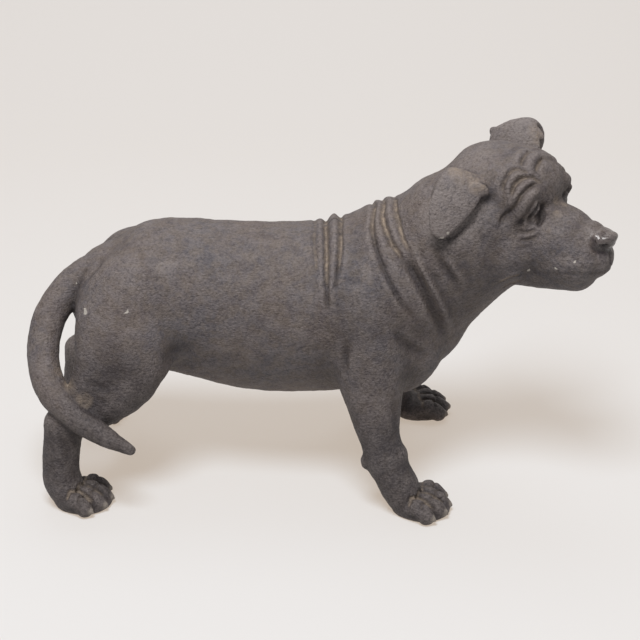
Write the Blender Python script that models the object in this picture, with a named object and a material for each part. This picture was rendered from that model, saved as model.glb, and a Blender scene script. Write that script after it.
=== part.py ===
"""A bull terrier statue, cast in one piece: a stocky young dog standing on its four paws.

The dog faces +X with its left side towards +Y, and turns its head to its right. It stands on z = 0.
The figure is laid out in units, which are a 279th part of its length, and is built as a sculptor
works: big masses are fused and smoothed, smaller forms are set on them, and the folds are worked in.
Of a pair, the right one is written down, and the left one is its mirror image.
"""

import math

import bmesh
import bpy
import numpy as np
from mathutils import Matrix, Vector
from mathutils.bvhtree import BVHTree

# Driving dimensions
LENGTH = 0.279  # nose to the outside of the tail, in metres
UNITS_IN_LENGTH = 279
TRIANGLES = 9600  # in the finished solid, before its soles are cut
RESIN_COLOUR = (0.085, 0.075, 0.07, 1)
RESIN_ROUGHNESS = 0.62

# Modelling fineness: the sizes of the squares of skin are in units
BODY_VOXEL = 1.7
BODY_ROUNDS = 50
DETAIL_VOXEL = 1.15
DETAIL_ROUNDS = 3
RING_SIDES = 24
RINGS_PER_SPAN = 6
STROKE_STEPS = 10
STROKE_FADE = 0.18
LONG_FADE = 0.4

# Kinds of stroke: how far they spread to each side, and how far they raise the skin, in units
FINE_CREASE = (1.3, -1.1)
CREASE = (1.5, -1.6)
GROOVE = (3.2, -1.7)
ROLL = (2.2, 1.3)
THICK_ROLL = (2.8, 3)
OVERLAP = (3.2, 2.7)

# The head's own frame: forward, left and up from the point between the eyes
HEAD_ORIGIN = (88.6, -6.0, 147.0)
HEAD_TURN = math.radians(-38)
HEAD = Matrix.Translation(HEAD_ORIGIN) @ Matrix.Rotation(HEAD_TURN, 4, "Z")

RIGHT, LEFT = -1, 1
BUNCHING = {RIGHT: 1, LEFT: 0.55}  # the head turns right, so the neck's skin bunches more there

# Masses, as rows of x, y, z, half width and half depth
BARREL = [
    (-97, 0, 91.5, 27, 28.5),
    (-84, 0, 92, 34, 37),
    (-69, 0, 91.5, 35, 39),
    (-50, 0, 88.4, 34.5, 41.2),
    (-30, 0, 85.4, 35.5, 43.2),
    (-10, 0, 85.2, 38, 43.2),
    (10, 0, 86, 40, 42.5),
    (30, 0, 86.5, 38, 40),
    (44, 0, 85, 31, 33),
]
NECK = [
    (30, 0, 94, 39, 41),
    (41, -0.5, 101.5, 37, 40),
    (52, -1.5, 109, 34, 38),
    (62, -4, 117.5, 31, 35),
    (71, -7, 127.5, 29, 34.5),
    (80, -9, 136.5, 27, 30.5),
]
UPPER_JAW = [(8, 0, -15, 24, 21), (26, 0, -17.5, 20, 19), (39, 0, -19, 16.5, 17), (44, 0, -19, 14, 15)]
LOWER_JAW = [
    (0, 0, -29, 20, 16), (20, 0, -30, 17.5, 12.5), (37, 0, -30.5, 14, 9.5), (42, 0, -30.5, 12.5, 9),
]
FORELEG = [
    (24, -33, 78, 13, 19),
    (25, -37.5, 62, 13, 16.5),
    (26.5, -42.5, 50, 11.5, 13.2),
    (28, -45.8, 41, 10.4, 11),
    (30, -48, 32, 9.6, 9.6),
    (31.8, -49.4, 26.5, 10, 10.7),
    (35, -51, 20, 9.4, 9.4),
    (38.4, -52.2, 13.5, 10, 9.8),
    (41.5, -52.8, 7.5, 10.5, 9),
]
THIGH = [(-92, -25, 86, 17, 25.5), (-91, -30, 76, 15, 22.2), (-88.6, -34, 67, 12.5, 18)]
HAMSTRING = [
    (-100, -26, 92, 14, 17.5),
    (-102.5, -31, 79, 12.5, 16),
    (-106, -36, 67, 10.5, 13.5),
    (-112, -39.5, 57, 8.5, 10.5),
    (-118, -42, 50, 7, 8.5),
]
SHIN = [
    (-89.5, -36, 62.5, 11.5, 13),
    (-98, -38.5, 56, 10.5, 12.8),
    (-109, -41, 48.8, 9, 11),
    (-118, -42.5, 44.5, 8.2, 9.5),
    (-123, -43, 42, 8, 9),
]
HOCK = [
    (-124.8, -43, 43, 7.8, 9),
    (-124.6, -43.5, 33, 7.7, 9.4),
    (-126.2, -44.5, 22, 8.2, 9.2),
    (-125.6, -46, 13, 9, 9.6),
    (-122.5, -47, 7, 10.5, 8.6),
]
TAIL = [
    (-92, 0, 104, 11, 11.5),
    (-108, -3, 105.4, 9.6, 10),
    (-121, -8, 99, 8.4, 8.8),
    (-130.8, -16, 87.4, 7.7, 8.2),
    (-133.9, -26, 73.2, 7.6, 8),
    (-130, -37, 59.2, 7.8, 7.8),
    (-117, -48, 48.6, 7, 7.2),
    (-102.2, -54.5, 41, 5.2, 5.4),
    (-90, -58, 35.6, 2.5, 2.6),
]
TAIL_WIDE_AXIS = (0.3, 1, 0.6)
RIGHT_EAR = [
    (69.5, -14, 152, 10, 5),
    (68.5, -20, 158.5, 11, 3.8),
    (66, -25, 162, 9.5, 3),
    (64, -29, 160.5, 10.5, 2.8),
    (61.3, -31.8, 154, 11.3, 2.7),
    (59.3, -33.2, 147.8, 10.4, 2.5),
    (57.3, -34.2, 142, 8.2, 2.3),
    (55.8, -34.8, 137.6, 5, 2),
]
RIGHT_EAR_WIDE_AXIS = (1, 0.25, -0.1)
LEFT_EAR = [
    (-8, 17, 11, 11.5, 5),
    (-8.6, 21.5, 18, 13, 3.8),
    (-8.2, 24.3, 22.3, 11, 3.3),
    (-8.2, 26.8, 25.4, 7.5, 3),
    (-8.8, 30, 25.4, 6.8, 2.9),
    (-10.3, 33.5, 21.5, 9, 2.7),
    (-11.5, 35.5, 14.5, 9.5, 2.5),
    (-12.8, 36.8, 7, 7, 2.3),
    (-14, 37, 2, 3.5, 2),
]
LEFT_EAR_WIDE_AXIS = (0.92, 0.38, 0.1)

# Paws: the point under the heel, the turn outwards in degrees, the side and the size
PAWS = [
    ((46.5, -52.6, 0), 18, RIGHT, 0.91),
    ((52.5, 52, 0), 12, LEFT, 0.94),
    ((-118.6, -46, 0), 16, RIGHT, 0.9),
    ((-121.5, 47.5, 0), 12, LEFT, 0.9),
]
TOES = [(-10, 9.5, -14), (-3.5, 13.5, -4), (3.5, 13.5, 4), (10, 9.5, 14)]  # across, reach, spread
LEFT_HOCK_BACK = 2  # how much further back the left hock stands

# Folds of loose skin, on the right side
WITHERS_ROLL = [(7, -3.6, 129), (7.1, -14.6, 126), (6.6, -29.5, 116.5), (5.2, -37.8, 105), (4.2, -40, 98)]
WITHERS_AHEAD = [
    (11, -3, 129), (10.2, -17.3, 125.2), (9.4, -24.7, 120.5), (8.5, -30.4, 115.6), (6, -38, 105),
]
WITHERS_BEHIND = [
    (3, -3, 129), (3.3, -19.2, 124.9), (3.3, -31.8, 114.7), (3.7, -39.2, 102.6), (4, -40.2, 94),
]
NECK_A = [
    (25.8, -7, 137), (24.1, -18.6, 132), (26.8, -27.5, 124), (31.4, -33.3, 114), (44.3, -36.7, 95.8),
    (51, -33, 84),
]
NECK_B = [(31, -6.7, 139), (29.6, -14.6, 136), (32.4, -25.1, 130), (38.4, -31.2, 122), (42.2, -32.3, 116.9)]
NECK_C = [(36, -8, 141), (36.9, -21.5, 134), (40.7, -29.5, 127), (43.4, -33.2, 121)]
FLAP_EDGE = [(41, -30, 127), (45.8, -34.6, 117), (51.6, -36.1, 106), (57.4, -33, 93), (62.9, -22.5, 77)]
THROAT_GROOVE = [(52.1, -33.8, 129), (59.8, -35, 117), (67, -32.8, 103.9)]
SHOULDER_GROOVE = [(33.8, -41, 92.6), (40.3, -37.7, 82.3), (49.2, -34.4, 74.5), (55, -30, 71)]
ARMPIT = [(11.8, -42.8, 88), (11.8, -43, 80), (11, -44.5, 71), (11, -46, 62)]
THIGH_GROOVE = [(-110.8, -38.7, 67.5), (-104.9, -45.5, 63.4), (-100.5, -47.3, 62.7), (-92, -48, 65)]
TAIL_GROOVE = [(-104, -9, 118), (-107, -18, 112), (-113, -20, 102)]
FLANK_HOLLOW = (-68, 34, 72)
EAR_HOLLOWS = [(76.5, -30, 155), (79, 26, 146)]

# Folds of the face, on the right side, in the head's frame
BROW_OUTER = [
    (12.2, -25.3, 7.6), (12.2, -20.9, 16.1), (14.9, -14.2, 18.9), (18.5, -13.1, 18.2),
    (21.3, -12.2, 15.9),
]
BROW_INNER = [
    (17.1, -25.3, 7.2), (16.9, -19.9, 12.9), (19.5, -14.4, 15.6), (23.9, -10.1, 13.7),
    (25.8, -8.4, 10.7),
]
BROW_LOW = [
    (14.4, -27.4, -8.4), (17.2, -25.6, -0.5), (21.9, -23.6, 7.3), (23.1, -17.3, 12.3),
    (25.4, -9.6, 10.9),
]
BROW_ROLL = [
    (17.9, -24.3, -8.5), (20.9, -21, -0.2), (24.3, -17.9, 7.7), (24.8, -13.8, 9.3), (26.3, -8.9, 8),
]
FOREHEAD_HIGH = [(16.4, -13.2, 19.2), (14.1, -9.7, 21.2), (12.8, -4.5, 22.6), (12.5, 0, 22.8)]
FOREHEAD_LOW = [(22.2, -9, 16.2), (20.5, -6.3, 18.7), (18.8, -2, 19.6), (18.7, 0, 19.7)]
EYE_BALL = [(26.3, -12, 3.5), (25.1, -14, -0.6), (24, -16.3, -5.5)]
EYE_SHADOW = [(27.4, -9.5, 3), (27.8, -12, -2), (27, -15.5, -5.6)]
LID_CREASE = [(20.3, -19.6, -7.4), (23.2, -18.9, -8.9), (26.3, -17.8, -9)]
LOWER_LID_CREASE = [(21.7, -21.4, -12), (24.8, -19.6, -12), (27.6, -18, -10.6)]
LIPS = [
    (57, 0, -24), (55.1, -4.6, -24.5), (53.1, -10.2, -25.2), (48.5, -15.8, -25.5), (39.7, -18.8, -26.7),
    (24, -20, -31),
]
PHILTRUM = [(58.5, 0, -16), (58, 0, -19), (57, 0, -23)]


def spline(rows, steps):
    """Points on a Catmull-Rom curve through the rows, with this many steps from row to row."""
    rows = np.array(rows, float)
    padded = np.vstack([2 * rows[0] - rows[1], rows, 2 * rows[-1] - rows[-2]])
    points = []
    for before, start, end, after in zip(padded, padded[1:], padded[2:], padded[3:]):
        for t in np.arange(steps) / steps:
            line = 2 * start + (end - before) * t
            bend = (2 * before - 5 * start + 4 * end - after) * t**2
            twist = (3 * start - before - 3 * end + after) * t**3
            points.append((line + bend + twist) / 2)
    points.append(rows[-1])
    return np.array(points)


def loft(clay, stations, wide_axis=(0, 1, 0), place=None):
    """Adds a closed tube with rounded ends to the clay.

    A station is (x, y, z, half_width, half_depth). The width lies along wide_axis, the depth across it.
    """
    rows = spline(stations, RINGS_PER_SPAN)
    tangents = np.gradient(rows[:, :3], axis=0)
    tangents /= np.linalg.norm(tangents, axis=1)[:, None]
    rings = []
    for row, along in zip(rows, tangents):
        tangent = Vector(along)
        wide = Vector(wide_axis)
        wide = (wide - wide.dot(tangent) * tangent).normalized()
        rings.append((Vector(row[:3]), tangent, wide, tangent.cross(wide), row[3], row[4]))
    made = []
    for centre, tangent, wide, deep, width, depth, grow in with_round_ends(rings):
        ring = []
        for side in range(RING_SIDES):
            angle = math.tau * side / RING_SIDES
            point = centre + wide * (width * grow * math.cos(angle)) + deep * (depth * grow * math.sin(angle))
            ring.append(clay.verts.new(place @ point if place else point))
        made.append(ring)
    for low, high in zip(made, made[1:]):
        for side in range(RING_SIDES):
            after = (side + 1) % RING_SIDES
            clay.faces.new((low[side], low[after], high[after], high[side]))
    clay.faces.new(list(reversed(made[0])))
    clay.faces.new(made[-1])


def with_round_ends(rings):
    """The rings of a loft with a few shrinking rings before and after, which round its two ends."""
    angles = (80, 60, 40, 20)
    first, last = rings[0], rings[-1]
    for angle in angles:
        reach = min(first[4], first[5]) * math.sin(math.radians(angle))
        yield (first[0] - first[1] * reach, *first[1:], math.cos(math.radians(angle)))
    for ring in rings:
        yield (*ring, 1.0)
    for angle in reversed(angles):
        reach = min(last[4], last[5]) * math.sin(math.radians(angle))
        yield (last[0] + last[1] * reach, *last[1:], math.cos(math.radians(angle)))


def ball(clay, centre, radii, turn=(0, 0, 0), place=None):
    """Adds an ellipsoid to the clay. The turn is in degrees about its X, Y and Z axes."""
    matrix = Matrix.Translation(centre)
    for axis, angle in zip("ZYX", reversed(turn)):
        matrix = matrix @ Matrix.Rotation(math.radians(angle), 4, axis)
    matrix = matrix @ Matrix.Diagonal((*radii, 1))
    bmesh.ops.create_icosphere(clay, subdivisions=3, radius=1, matrix=place @ matrix if place else matrix)


def on_side(rows, side):
    """Rows that are written for the right side, as they are there or mirrored to the left."""
    return [(row[0], -side * row[1], *row[2:]) for row in rows]


def around(path):
    """A path that starts at the middle of the back or face, carried on over the other side."""
    return list(reversed(on_side(path, LEFT))) + path


def moved(rows, back):
    """Rows moved back by some units."""
    return [(row[0] - back, *row[1:]) for row in rows]


def skull(clay):
    """The skull, cheeks, brows, muzzle and lower jaw, in the head's frame."""
    ball(clay, (-3, 0, -1), (28.5, 28.5, 25.5), place=HEAD)
    ball(clay, (-10, 2, 2), (21, 22, 21), place=HEAD)
    ball(clay, (8.5, 0, 6), (20, 23, 18), place=HEAD)
    ball(clay, (46.5, 0, -22), (12.5, 12.5, 10), place=HEAD)
    for side in (RIGHT, LEFT):
        ball(clay, (3, side * 14, -20), (25, 15, 20), place=HEAD)
        ball(clay, (16, side * 11.2, 4.8), (11.5, 12.5, 10), place=HEAD)
        ball(clay, (37, side * 7, -22.5), (18, 11, 13), place=HEAD)
    loft(clay, UPPER_JAW, place=HEAD)
    loft(clay, LOWER_JAW, place=HEAD)


def forequarter(clay, side):
    """One shoulder and foreleg, down to the wrist."""
    ball(clay, (25, side * 26, 84), (24, 17, 32), turn=(0, -12, 0))
    ball(clay, (39, side * 20, 71), (21, 17, 23), turn=(0, 30, 0))
    loft(clay, on_side(FORELEG, side))


def hindquarter(clay, side):
    """One haunch, thigh, shin and hock, down to the paw."""
    ball(clay, (-91, side * 19, 88), (27.5, 20, 33), turn=(0, 8, 0))
    back = LEFT_HOCK_BACK if side == LEFT else 0
    loft(clay, on_side(THIGH, side))
    loft(clay, on_side(moved(HAMSTRING, back / 2), side))
    loft(clay, on_side(moved(SHIN, back), side))
    loft(clay, on_side(moved(HOCK, back), side))


def wrist(clay, side):
    """The knob behind the wrist of one foreleg."""
    ball(clay, (23.8, side * 50, 26), (4, 4.2, 5), turn=(0, 20, 0))


def paw(clay, heel, turn_out, side, size):
    """A paw of four toes spread from the heel point, turned out from straight ahead by some degrees."""
    turn = Matrix.Rotation(math.radians(side * turn_out), 4, "Z")
    place = Matrix.Translation(heel) @ turn @ Matrix.Scale(size, 4)
    ball(clay, (0, 0, 4), (13, 13.5, 8), place=place)
    ball(clay, (4, 0, 2.5), (15, 14, 5), place=place)
    for across, reach, spread in TOES:
        toe = place @ Matrix.Translation((0, across, 0)) @ Matrix.Rotation(math.radians(spread), 4, "Z")
        knuckles = [
            (-4, 0, 6.6, 4.2, 4.2),
            (reach * 0.4, 0, 7.8, 4.7, 4.5),
            (reach * 0.85, 0, 6, 4.9, 5),
            (reach, 0, 3.6, 4.7, 4.6),
        ]
        loft(clay, knuckles, place=toe)


def ears(clay):
    """The right ear folds down on the neck. The left one is raised, and folds down on the far side."""
    ball(clay, (63, -21, 151), (10, 8, 11))
    loft(clay, RIGHT_EAR, wide_axis=RIGHT_EAR_WIDE_AXIS)
    ball(clay, (-9, 26, 10), (10, 8, 11), place=HEAD)
    loft(clay, LEFT_EAR, wide_axis=LEFT_EAR_WIDE_AXIS, place=HEAD)


def nose(clay):
    """The nose pad, a wedge with its tip at the top, in the head's frame."""
    ball(clay, (53.2, 0, -10.4), (6.8, 7.4, 4.3), turn=(0, 16, 0), place=HEAD)
    ball(clay, (51.8, 0, -13.2), (5.2, 6.6, 5), place=HEAD)


def new_object(name, clay):
    """An object that holds the clay, which is freed."""
    mesh = bpy.data.meshes.new(name)
    clay.to_mesh(mesh)
    clay.free()
    obj = bpy.data.objects.new(name, mesh)
    bpy.context.scene.collection.objects.link(obj)
    return obj


def bake(obj):
    """Replaces the object's mesh with what its modifiers make of it."""
    graph = bpy.context.evaluated_depsgraph_get()
    baked = bpy.data.meshes.new_from_object(obj.evaluated_get(graph))
    obj.modifiers.clear()
    obj.data = baked


def fuse(obj, voxel):
    """Fuses the object's overlapping shapes into one skin."""
    remesh = obj.modifiers.new("fuse", "REMESH")
    remesh.mode = "VOXEL"
    remesh.voxel_size = voxel
    bake(obj)


def relax(obj, rounds, share=None):
    """Smooths the skin. The share of a point, from its (x, y, z), says how much it takes part."""
    smooth = obj.modifiers.new("smooth", "SMOOTH")
    smooth.factor = 0.5
    smooth.iterations = round(rounds)
    if share:
        group = obj.vertex_groups.new(name="share")
        for vertex in obj.data.vertices:
            group.add([vertex.index], share(vertex.co), "REPLACE")
        smooth.vertex_group = group.name
    bake(obj)
    obj.vertex_groups.clear()


def body_share(point):
    """The trunk is smoothed fully, the legs and the head less."""
    above_legs = min(max((point.z - 45) / 25, 0), 1)
    along_muzzle = (HEAD.inverted() @ point).x
    behind_face = min(max((14 - along_muzzle) / 20, 0), 1)
    return 0.2 + 0.8 * above_legs * behind_face


def big_masses():
    """The clay of the trunk, the head and the legs."""
    clay = bmesh.new()
    loft(clay, BARREL)
    loft(clay, NECK)
    skull(clay)
    for side in (RIGHT, LEFT):
        forequarter(clay, side)
        hindquarter(clay, side)
    return clay


def small_masses(clay):
    """Adds the paws, the tail, the ears and the nose, which keep more of their form."""
    for heel, turn_out, side, size in PAWS:
        paw(clay, heel, turn_out, side, size)
    for side in (RIGHT, LEFT):
        wrist(clay, side)
    loft(clay, TAIL, wide_axis=TAIL_WIDE_AXIS)
    ears(clay)
    nose(clay)


class Skin:
    """The figure's skin, which is worked on with strokes and dents."""

    def __init__(self, obj):
        self.mesh = obj.data
        self.points = np.array([vertex.co for vertex in self.mesh.vertices])
        self.normals = np.array([vertex.normal for vertex in self.mesh.vertices])
        faces = [face.vertices[:] for face in self.mesh.polygons]
        self.tree = BVHTree.FromPolygons(self.points.tolist(), faces)
        self.moves = np.zeros(len(self.points))

    def stroke(self, path, kind, strength=1, lean=0, place=None, fade=STROKE_FADE):
        """Raises the skin along a path that is laid on it, or sinks it where the kind's height is negative.

        With a lean of 1 or -1 the skin overlaps there: it rises on one side of the path, and sinks on
        the other. Each end of the stroke dies away over the share of it that is called fade.
        """
        width, height = kind
        samples, across = self.laid_on_skin(spline(path, STROKE_STEPS), place)
        low, high = samples.min(axis=0) - 3 * width, samples.max(axis=0) + 3 * width
        near = np.nonzero(np.all((self.points > low) & (self.points < high), axis=1))[0]
        offsets = self.points[near][:, None, :] - samples[None, :, :]
        distance = np.linalg.norm(offsets, axis=2)
        nearest = distance.argmin(axis=1)
        rows = np.arange(len(near))
        distance = distance[rows, nearest] / width
        done = nearest / (len(samples) - 1)
        ends = np.clip(np.minimum(done, 1 - done) / fade, 0, 1)
        if lean:
            sideways = lean * np.einsum("ij,ij->i", offsets[rows, nearest], across[nearest]) / width
            form = np.exp(-((sideways - 0.9) ** 2)) - np.exp(-((sideways + 0.9) ** 2))
            form *= np.exp(-((distance / 2) ** 4))
        else:
            form = np.exp(-(distance**2))
        self.moves[near] += strength * height * form * ends

    def laid_on_skin(self, points, place):
        """The points moved on to the skin, and the direction across the path at each."""
        placed = [place @ Vector(point) if place else Vector(point) for point in points]
        found = [self.tree.find_nearest(point) for point in placed]
        samples = np.array([spot[0] for spot in found])
        normals = np.array([spot[1] for spot in found])
        across = np.cross(normals, np.gradient(samples, axis=0))
        across /= np.linalg.norm(across, axis=1)[:, None] + 1e-9
        return samples, across

    def dent(self, centre, radius, height, place=None):
        """Raises a round patch of skin, or sinks it where the height is negative."""
        centre = np.array(place @ Vector(centre) if place else centre)
        distance = np.linalg.norm(self.points - centre, axis=1) / radius
        self.moves += height * np.exp(-(distance**2)) * (distance < 3)

    def settle(self):
        """Moves the skin by all that was asked for."""
        moved_points = self.points + self.normals * self.moves[:, None]
        self.mesh.vertices.foreach_set("co", moved_points.ravel())
        self.mesh.update()


def body_folds(skin):
    """The loose skin over the withers and the neck, which hangs in folds."""
    skin.stroke(around(WITHERS_ROLL), THICK_ROLL)
    skin.stroke(around(WITHERS_AHEAD), CREASE)
    skin.stroke(around(WITHERS_BEHIND), CREASE)
    skin.stroke(around(moved(WITHERS_BEHIND, 3.2)), ROLL, 0.6)
    for side in (RIGHT, LEFT):
        bunched = BUNCHING[side]
        skin.stroke(on_side(NECK_A, side), CREASE, bunched)
        skin.stroke(on_side(NECK_B, side), CREASE, bunched)
        skin.stroke(on_side(NECK_C, side), CREASE, bunched)
        skin.stroke(on_side(moved(NECK_B[1:], 2.8), side), ROLL, 1.2 * bunched, fade=LONG_FADE)
        skin.stroke(on_side(moved(NECK_C[1:], 2.6), side), ROLL, 1.2 * bunched, fade=LONG_FADE)
        skin.stroke(on_side(FLAP_EDGE, side), OVERLAP, bunched, lean=-side, fade=LONG_FADE)
        skin.stroke(on_side(THROAT_GROOVE, side), GROOVE, 0.8, fade=LONG_FADE)


def muscles(skin):
    """The hollows and grooves that show the muscles under the skin."""
    for side in (RIGHT, LEFT):
        for path in (SHOULDER_GROOVE, ARMPIT, THIGH_GROOVE, TAIL_GROOVE):
            skin.stroke(on_side(path, side), GROOVE, fade=LONG_FADE)
        x, y, z = FLANK_HOLLOW
        skin.dent((x, side * y, z), 11, -2.2)
    for hollow in EAR_HOLLOWS:
        skin.dent(hollow, 4, -1.6)


def face(skin):
    """The brow wrinkles, eyes, lips and nostrils, in the head's frame."""
    for side in (RIGHT, LEFT):
        skin.stroke(on_side(BROW_OUTER, side), FINE_CREASE, place=HEAD)
        skin.stroke(on_side(BROW_INNER, side), FINE_CREASE, place=HEAD)
        skin.stroke(on_side(BROW_LOW, side), FINE_CREASE, 1.2, place=HEAD)
        skin.stroke(on_side(BROW_ROLL, side), ROLL, 1.2, place=HEAD)
        skin.stroke(on_side(FOREHEAD_HIGH, side), FINE_CREASE, place=HEAD)
        skin.stroke(on_side(FOREHEAD_LOW, side), FINE_CREASE, place=HEAD)
        skin.dent((26, side * 12.5, -1), 5, -2, place=HEAD)
        skin.stroke(on_side(EYE_SHADOW, side), FINE_CREASE, 1.4, place=HEAD)
        skin.stroke(on_side(EYE_BALL, side), ROLL, 1.7, place=HEAD)
        skin.stroke(on_side(LID_CREASE, side), FINE_CREASE, place=HEAD)
        skin.stroke(on_side(LOWER_LID_CREASE, side), FINE_CREASE, 0.8, place=HEAD)
        skin.dent((57.5, side * 5, -13), 1.8, -1.8, place=HEAD)
    skin.stroke(around(LIPS), FINE_CREASE, 1.2, place=HEAD)
    skin.stroke(PHILTRUM, FINE_CREASE, place=HEAD)


def thin_out(obj):
    """Leaves the number of triangles that the solid may have, most of them where the form is fine."""
    mesh = bmesh.new()
    mesh.from_mesh(obj.data)
    bmesh.ops.triangulate(mesh, faces=mesh.faces[:])
    mesh.to_mesh(obj.data)
    mesh.free()
    decimate = obj.modifiers.new("thin out", "DECIMATE")
    decimate.ratio = TRIANGLES / len(obj.data.polygons)
    bake(obj)


def stand_on_floor(obj):
    """Scales the units to metres and cuts the soles flat."""
    unit = LENGTH / UNITS_IN_LENGTH
    obj.data.transform(Matrix.Diagonal((unit, unit, unit, 1)))
    clay = bmesh.new()
    clay.from_mesh(obj.data)
    geometry = clay.verts[:] + clay.edges[:] + clay.faces[:]
    cut = bmesh.ops.bisect_plane(
        clay, geom=geometry, plane_co=(0, 0, 0), plane_no=(0, 0, -1), clear_outer=True
    )
    rim = [item for item in cut["geom_cut"] if isinstance(item, bmesh.types.BMEdge)]
    bmesh.ops.holes_fill(clay, edges=rim, sides=0)
    bmesh.ops.triangulate(clay, faces=clay.faces[:])
    clay.to_mesh(obj.data)
    clay.free()


def stand_over_origin(obj):
    """Places the object so that the middle of its length and width lies over the origin."""
    points = np.array([vertex.co for vertex in obj.data.vertices])
    middle = (points.min(axis=0) + points.max(axis=0)) / 2
    obj.location = (-middle[0], -middle[1], 0)


def resin():
    """Cast resin, painted a dark warm grey."""
    material = bpy.data.materials.new("dark_resin")
    material.use_nodes = True
    shader = material.node_tree.nodes["Principled BSDF"]
    shader.inputs["Base Color"].default_value = RESIN_COLOUR
    shader.inputs["Roughness"].default_value = RESIN_ROUGHNESS
    shader.inputs["Metallic"].default_value = 0.0
    return material


def main():
    """Builds the statue as one solid."""
    for obj in list(bpy.data.objects):
        bpy.data.objects.remove(obj)
    dog = new_object("bull_terrier", big_masses())
    fuse(dog, BODY_VOXEL)
    relax(dog, BODY_ROUNDS, body_share)
    clay = bmesh.new()
    clay.from_mesh(dog.data)
    small_masses(clay)
    clay.to_mesh(dog.data)
    clay.free()
    fuse(dog, DETAIL_VOXEL)
    relax(dog, DETAIL_ROUNDS)
    skin = Skin(dog)
    body_folds(skin)
    muscles(skin)
    face(skin)
    skin.settle()
    relax(dog, 1)
    thin_out(dog)
    stand_on_floor(dog)
    stand_over_origin(dog)
    dog.data.materials.append(resin())
    dog.data.shade_smooth()


main()
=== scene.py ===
"""The looks of a bull terrier statue: a small dark resin casting on a pale studio floor.

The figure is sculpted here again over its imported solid, on the same masses but with a finer skin: it
has the wrinkles, eyelids, nostrils, toes and claws of the casting, its worn ochre wash and its coat.
Its layout is in units, which are a 279th part of its length. The dog faces +X, its left side is
towards +Y, and it turns its head to its right. Of a pair, the right one is written down, with y below
zero, and the left one is its mirror image.
"""

import logging
import math
from collections.abc import Callable, Sequence
from dataclasses import dataclass
from enum import Enum

import bmesh
import bpy
import numpy as np
from mathutils import Matrix, Vector, noise
from mathutils.bvhtree import BVHTree
from mathutils.kdtree import KDTree


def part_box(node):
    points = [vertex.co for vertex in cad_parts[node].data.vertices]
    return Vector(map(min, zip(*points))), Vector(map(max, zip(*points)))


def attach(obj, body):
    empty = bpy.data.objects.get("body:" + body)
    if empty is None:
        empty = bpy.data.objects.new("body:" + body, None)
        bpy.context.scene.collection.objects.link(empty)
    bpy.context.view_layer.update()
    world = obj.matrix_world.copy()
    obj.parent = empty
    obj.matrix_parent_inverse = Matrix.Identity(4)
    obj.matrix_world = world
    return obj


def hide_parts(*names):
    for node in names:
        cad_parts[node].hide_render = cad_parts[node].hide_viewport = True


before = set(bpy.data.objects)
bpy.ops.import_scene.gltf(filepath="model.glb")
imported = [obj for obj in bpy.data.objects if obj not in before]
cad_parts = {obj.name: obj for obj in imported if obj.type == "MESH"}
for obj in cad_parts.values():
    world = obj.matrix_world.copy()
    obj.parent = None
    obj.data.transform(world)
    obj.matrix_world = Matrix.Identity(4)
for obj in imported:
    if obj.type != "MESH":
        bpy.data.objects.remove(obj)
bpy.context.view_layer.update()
LOG = logging.getLogger("statue")

NODE = "bull_terrier"
SLOT = "dark_resin"
UNITS_IN_LENGTH = 279
PIECE_TRIANGLES = 190_000

Point = tuple[float, float, float]
Station = tuple[float, float, float, float, float]
Rows = Sequence[tuple[float, ...]]
Colour = tuple[float, float, float, float]


class Side(Enum):
    """The dog's own sides, with the sign that each has on Y and in the head's frame."""

    RIGHT = -1
    LEFT = 1


class Paint(Enum):
    """The named shares of the skin that its finish reads, kept as point attributes."""

    WASH = "wash"
    POLISH = "polish"
    # painted shade in the creases, which follows from the form
    HOLLOW_SHADE = "hollow"
    WORN = "worn"
    HORN = "horn"
    # pale dusty places and scuffs, and a painted sheen on the skull
    DUST_AND_SHEEN = "dust_and_sheen"
    # darker places: painted shade under the ears and the jaw, and darker paint low on the legs and on the
    # nose
    SHADE_AND_GRIME = "shade_and_grime"
    CHIP = "chip"


def spline(rows: Rows, steps: int) -> np.ndarray:
    """Runs a Catmull-Rom curve through rows of numbers.

    Args:
        rows: The rows that the curve passes through.
        steps: How many steps there are from row to row.

    Returns:
        The rows along the curve, one after another.
    """
    rows = np.array(rows, float)
    padded = np.vstack([2 * rows[0] - rows[1], rows, 2 * rows[-1] - rows[-2]])
    points = []
    for before, start, end, after in zip(padded, padded[1:], padded[2:], padded[3:]):
        for t in np.arange(steps) / steps:
            line = 2 * start + (end - before) * t
            bend = (2 * before - 5 * start + 4 * end - after) * t**2
            twist = (3 * start - before - 3 * end + after) * t**3
            points.append(0.5 * (line + bend + twist))
    points.append(rows[-1])
    return np.array(points)


def halfway(first: Rows, second: Rows) -> Rows:
    """The path halfway between two paths of as many points."""
    return [tuple((np.array(a) + np.array(b)) / 2) for a, b in zip(first, second)]


def on_side(rows: Rows, side: Side) -> Rows:
    """Rows that were written for the right side, on either side."""
    return [(row[0], -side.value * row[1], *row[2:]) for row in rows]


def moved(rows: Rows, back: float, up: float = 0.0) -> Rows:
    """Rows moved back and up by some units."""
    return [(row[0] - back, row[1], row[2] + up, *row[3:]) for row in rows]


@dataclass(frozen=True)
class HeadFrame:
    """The head's own axes: forward, left and up from the point between the eyes.

    Attributes:
        origin: That point, in the figure's units.
        turn: How far the head turns to the dog's left, in degrees.
    """

    origin: Point = (88.6, -6.0, 147.0)
    turn: float = -38.0

    @property
    def matrix(self) -> Matrix:
        """The transform from the head's axes to the figure's."""
        return Matrix.Translation(self.origin) @ Matrix.Rotation(math.radians(self.turn), 4, "Z")


HEAD = HeadFrame().matrix


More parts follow.
